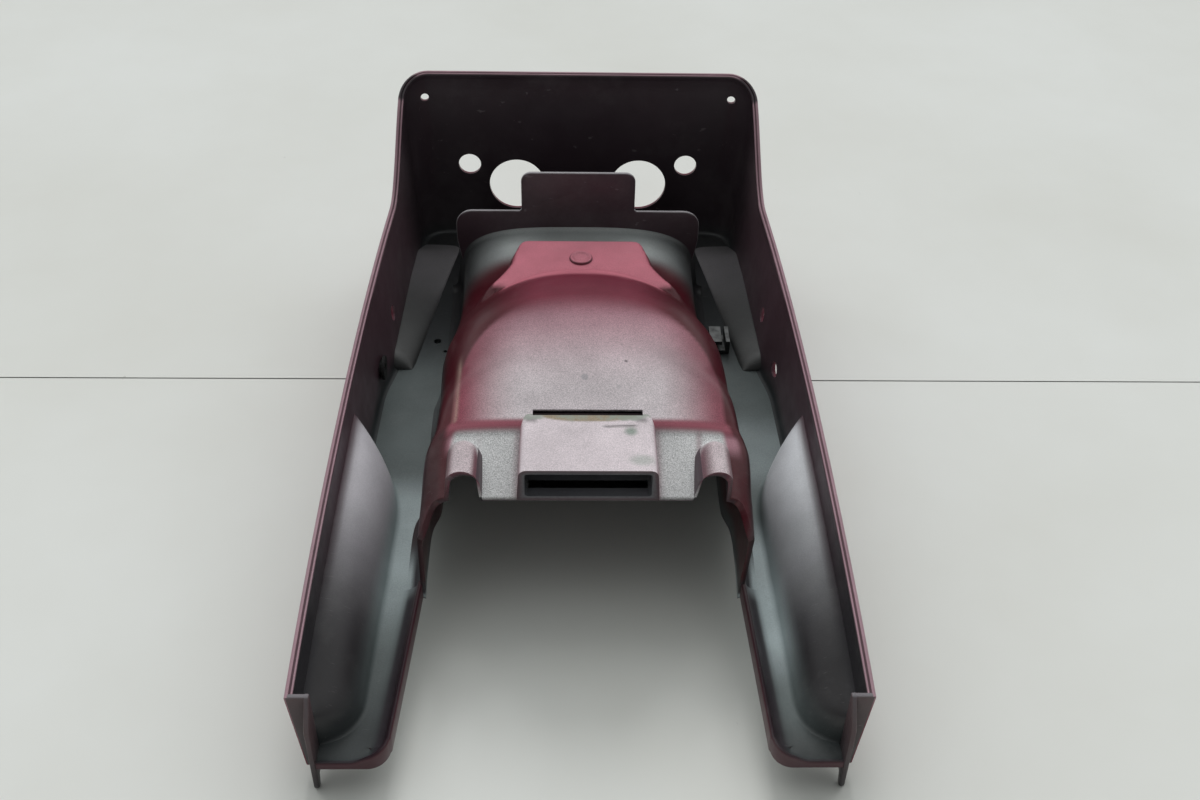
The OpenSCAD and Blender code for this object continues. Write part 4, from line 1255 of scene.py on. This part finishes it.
def spread(tree, value, low, high, to_low=0.0, to_high=1.0):
    """Stretches a value from one range to another, held at both ends."""
    made = tree.nodes.new("ShaderNodeMapRange")
    made.clamp = True
    for k, number in ((1, low), (2, high), (3, to_low), (4, to_high)):
        made.inputs[k].default_value = number
    tree.links.new(value, made.inputs[0])
    return made.outputs[0]


def tint(tree, amount, a, b, how="MIX"):
    """Mixes two colours: each is a socket or a colour, the amount a socket or a number."""
    made = tree.nodes.new("ShaderNodeMix")
    made.data_type = "RGBA"
    made.blend_type = how
    for k, value in ((0, amount), (6, a), (7, b)):
        if isinstance(value, bpy.types.NodeSocket):
            tree.links.new(value, made.inputs[k])
        elif k == 0:
            made.inputs[k].default_value = value
        else:
            made.inputs[k].default_value = (*value, 1)
    return made.outputs[2]


def stretched(tree, where, scale):
    """Coordinates multiplied by a factor along each axis."""
    made = tree.nodes.new("ShaderNodeMapping")
    made.inputs["Scale"].default_value = scale
    tree.links.new(where, made.inputs["Vector"])
    return made.outputs[0]


def attribute(tree, name, output="Fac"):
    """A value or a colour that the mesh keeps for each point."""
    made = tree.nodes.new("ShaderNodeAttribute")
    made.attribute_name = name
    return made.outputs[output]


def bumps(tree, shader, height, strength, distance):
    """Turns a height into a tilt of the surface, in metres of depth."""
    made = tree.nodes.new("ShaderNodeBump")
    made.inputs["Strength"].default_value = strength
    made.inputs["Distance"].default_value = distance
    tree.links.new(height, made.inputs["Height"])
    tree.links.new(made.outputs[0], shader.inputs["Normal"])


def moulding_finish():
    """Painted and bare plastic: point colours, flakes, dust clouds, hair scratches and worn patches."""
    made, tree, shader, where = material("moulding")
    tone = attribute(tree, "tone", "Color")
    speckle = attribute(tree, "speckle")
    flake = spread(tree, noise(tree, where, FLAKES, 1.0), 0.3, 0.7, 0.6, 1.4)
    flake = tint(tree, speckle, (1, 1, 1), flake, "MIX")
    base = tint(tree, 1.0, tone, flake, "MULTIPLY")
    cloud = spread(tree, noise(tree, where, 22, 5.0, 0.6), 0.3, 0.7, 0.86, 1.14)
    base = tint(tree, 1.0, base, cloud, "MULTIPLY")
    dust = spread(tree, noise(tree, where, 9, 6.0, 0.7), 0.52, 0.75, 0, 0.12)
    base = tint(tree, dust, base, DUST)
    hair = noise(tree, stretched(tree, where, HAIR_STRETCH), 3.0, 3.0)
    hair = spread(tree, hair, 0.7, 0.73, 0, 0.16)
    base = tint(tree, hair, base, HAIR_SCRATCH)
    patch = combine(tree, noise(tree, where, 70, 5.0, 0.65), attribute(tree, "wear"))
    patch = spread(tree, patch, 0.98, 1.12, 0, 0.85)
    base = tint(tree, patch, base, WORN_PATCH)
    base = dome_marks(tree, where, base)
    tree.links.new(base, shader.inputs["Base Color"])
    metal = attribute(tree, "metal")
    tree.links.new(metal, shader.inputs["Metallic"])
    rough = spread(tree, noise(tree, where, 60, 3.0), 0.3, 0.7, 0.36, 0.5)
    tree.links.new(rough, shader.inputs["Roughness"])
    tree.links.new(spread(tree, metal, 0.1, 0.4, 0.1, 0.35), shader.inputs["Coat Weight"])
    shader.inputs["Coat Roughness"].default_value = 0.3
    height = combine(tree, noise(tree, where, GRAIN, 1.0), noise(tree, where, 120, 2.0))
    bumps(tree, shader, height, 0.12, 0.0004)
    return made


# Each mark: place, radius in millimetres, strength and colour
DOME_MARKS = [
    ((29.9, 240.4, 120.5), 0.8, 0.8, srgb(60, 52, 56)),
    ((3.0, 228.7, 116.8), 2.2, 0.5, srgb(150, 150, 156)),
    ((24.8, 222.0, 114.0), 1.4, 0.3, srgb(160, 158, 162)),
]


def dome_marks(tree, where, base):
    """Three small marks on the dome: each a spot about a place, with a noisy edge 1 mm soft."""
    for centre, radius, strength, colour in DOME_MARKS:
        away = tree.nodes.new("ShaderNodeVectorMath")
        away.operation = "DISTANCE"
        tree.links.new(where, away.inputs[0])
        away.inputs[1].default_value = place(*centre).tolist()
        wobble = combine(tree, noise(tree, where, 400, 2.0), 0.0016, "MULTIPLY")
        reach = combine(tree, away.outputs["Value"], wobble)
        mark = spread(tree, reach, (radius + 0.4) * 0.001, (radius + 1.4) * 0.001, strength, 0.0)
        base = tint(tree, mark, base, tuple(colour))
    return base


def rubber_finish():
    """Black rubber with faint dusty clouds and a fine grain."""
    made, tree, shader, where = material("rubber")
    base = tint(tree, noise(tree, where, 160, 4.0), RUBBER_DARK, RUBBER_DUSTY)
    tree.links.new(base, shader.inputs["Base Color"])
    shader.inputs["Roughness"].default_value = 0.62
    bumps(tree, shader, noise(tree, where, GRAIN, 2.0), 0.2, 0.0002)
    return made


def clip_finish():
    """Black plastic with grey dust on what faces up."""
    made, tree, shader, where = material("clip")
    facing = tree.nodes.new("ShaderNodeSeparateXYZ")
    tree.links.new(tree.nodes.new("ShaderNodeNewGeometry").outputs["Normal"], facing.inputs[0])
    level = spread(tree, facing.outputs[2], 0.5, 0.9)
    dust = combine(tree, level, noise(tree, where, 130, 4.0), "MULTIPLY")
    base = tint(tree, spread(tree, dust, 0.2, 0.6, 0, 0.9), CLIP_BLACK, CLIP_DUST)
    tree.links.new(base, shader.inputs["Base Color"])
    shader.inputs["Roughness"].default_value = 0.55
    return made


def table_finish():
    """Pale painted board with faint stains and short dark marks."""
    made, tree, shader, where = material("table")
    stain = spread(tree, noise(tree, where, 2.2, 5.0, 0.6), 0.35, 0.7)
    base = tint(tree, stain, TABLE_PALE, TABLE_STAIN)
    mark = noise(tree, stretched(tree, where, MARK_STRETCH), 1.0, 6.0, 0.75)
    base = tint(tree, spread(tree, mark, 0.7, 0.74, 0, 0.5), base, TABLE_MARK)
    tree.links.new(base, shader.inputs["Base Color"])
    shader.inputs["Roughness"].default_value = 0.6
    return made


# Pieces


def join(parts, name):
    """One object from several, in their order."""
    for other in bpy.context.selected_objects:
        other.select_set(False)
    for part in parts:
        part.select_set(True)
    bpy.context.view_layer.objects.active = parts[0]
    bpy.ops.object.join()
    whole = parts[0]
    whole.name = name
    whole.data.name = name
    return whole


def smooth(piece, angle=38):
    """Smooth shading, with edges sharper than an angle in degrees kept hard."""
    piece.data.shade_smooth()
    piece.data.set_sharp_from_angle(angle=np.radians(angle))


def moulded_shell():
    """All forms of the moulding, each coloured on its own and then joined as one piece."""
    parts = [(outer_wall(), "wall"), (wheel_arch(), "arch"), (pocket_floor(), "floor")]
    parts += [(seat_socket(), "socket"), (upright_plate(), "upright"), (pad_boss(), "boss")]
    for s in (-1, 1):
        parts += [(arm_floor(s), "floor"), (arm_lip(s), "lip"), (rear_ledge(s), "ledge")]
        parts += [(tongue(s), "tongue"), (joggle(s), "tongue")]
    for part, kind in parts:
        colour_points(part, kind)
    shell = join([part for part, kind in parts], "moulded_shell")
    smooth(shell)
    shell.data.materials.clear()
    shell.data.materials.append(moulding_finish())
    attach(shell, "root")
    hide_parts("fender_shell")
    return shell


def carried_over(name, finish):
    """A CAD piece whose shape is right gets its finish."""
    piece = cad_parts[name]
    piece.data.materials.clear()
    piece.data.materials.append(finish)


# Table, light and camera

TABLE_REACH = 9000.0
SEAM_AT = 373.0
SEAM_HALF = 0.6
UNDER_HALF = 40.0
UNDER_DROP = 4.0
SUN_HEIGHT = 38.0
SUNS = [("window left", -30, 50, 0.75), ("window", 0, 20, 1.25), ("window right", 30, 50, 0.75)]
ROOM_LOW = 0.9
ROOM_HIGH = 0.3
ROOM_PANEL = 0.68
ROOM_COLOUR = srgb(226, 229, 228)
CAMERA_AT = (-0.0086, -0.705, 0.6372)
CAMERA_TURN = (39.309, 1.891, 1.400)
LENS = 39.0
FILM = 36.0


def board(name, near, far, z=0.0):
    """One flat board across the whole view, from one place along Y to another."""
    x = TABLE_REACH * np.array([-1, 1, 1, -1])
    piece = new_piece(name, place(x, np.array([near, near, far, far]), np.full(4, z)), [[0, 1, 2, 3]])
    piece.data.materials.append(table_finish())


def table():
    """Two pale boards with a narrow seam between them, and a strip that closes the seam from below."""
    board("near board", -TABLE_REACH, SEAM_AT - SEAM_HALF)
    board("far board", SEAM_AT + SEAM_HALF, TABLE_REACH)
    board("under the seam", SEAM_AT - UNDER_HALF, SEAM_AT + UNDER_HALF, -UNDER_DROP)


def light_from(name, bearing, spread_angle, strength):
    """A soft distant light: its bearing is counted in degrees to the right of straight behind the part."""
    light = bpy.data.lights.new(name, "SUN")
    light.energy = strength
    light.angle = np.radians(spread_angle)
    holder = bpy.data.objects.new(name, light)
    turn, lift = np.radians([bearing, SUN_HEIGHT])
    source = Vector((np.sin(turn) * np.cos(lift), np.cos(turn) * np.cos(lift), np.sin(lift)))
    holder.rotation_euler = source.to_track_quat("Z", "Y").to_euler()
    holder.visible_glossy = False
    bpy.context.scene.collection.objects.link(holder)


def lights():
    """A pale room with a bright ceiling panel over and behind the part, and soft lights from behind.

    The room's strength falls from its low to its high value as a direction rises to 0.35 of its length.
    """
    world = bpy.data.worlds.new("room")
    bpy.context.scene.world = world
    world.use_nodes = True
    tree = world.node_tree
    tree.nodes.clear()
    out = tree.nodes.new("ShaderNodeOutputWorld")
    back = tree.nodes.new("ShaderNodeBackground")
    toward = tree.nodes.new("ShaderNodeSeparateXYZ")
    tree.links.new(tree.nodes.new("ShaderNodeTexCoord").outputs["Generated"], toward.inputs[0])
    room = spread(tree, toward.outputs[2], 0.0, 0.35, ROOM_LOW, ROOM_HIGH)
    over = spread(tree, toward.outputs[2], 0.25, 0.45, 0.0, ROOM_PANEL)
    near_edge = spread(tree, toward.outputs[1], -0.45, 0.1)
    far_edge = spread(tree, toward.outputs[1], 0.45, 0.7, 1.0, 0.0)
    panel = combine(tree, over, combine(tree, near_edge, far_edge, "MULTIPLY"), "MULTIPLY")
    tree.links.new(combine(tree, room, panel), back.inputs["Strength"])
    back.inputs["Color"].default_value = (*ROOM_COLOUR, 1)
    tree.links.new(back.outputs[0], out.inputs[0])
    for name, bearing, spread_angle, strength in SUNS:
        light_from(name, bearing, spread_angle, strength)


def camera():
    """Camera over the front end, looking down along the part, turned and rolled by small angles."""
    pitch, yaw, roll = np.radians(CAMERA_TURN)
    ahead = np.array([np.sin(yaw) * np.cos(pitch), np.cos(yaw) * np.cos(pitch), -np.sin(pitch)])
    level = np.array([np.cos(yaw), -np.sin(yaw), 0])
    above = np.cross(level, ahead)
    right = level * np.cos(roll) + above * np.sin(roll)
    up = above * np.cos(roll) - level * np.sin(roll)
    lens = bpy.data.cameras.new("camera")
    lens.sensor_width = FILM
    lens.lens = LENS
    holder = bpy.data.objects.new("camera", lens)
    turn = Matrix((right, up, -ahead)).transposed().to_4x4()
    holder.matrix_world = Matrix.Translation(CAMERA_AT) @ turn
    bpy.context.scene.collection.objects.link(holder)
    bpy.context.scene.camera = holder


camera()
lights()
table()
moulded_shell()
carried_over("wire_clip", clip_finish())
carried_over("grommet", rubber_finish())
bpy.context.scene.view_settings.view_transform = "Standard"
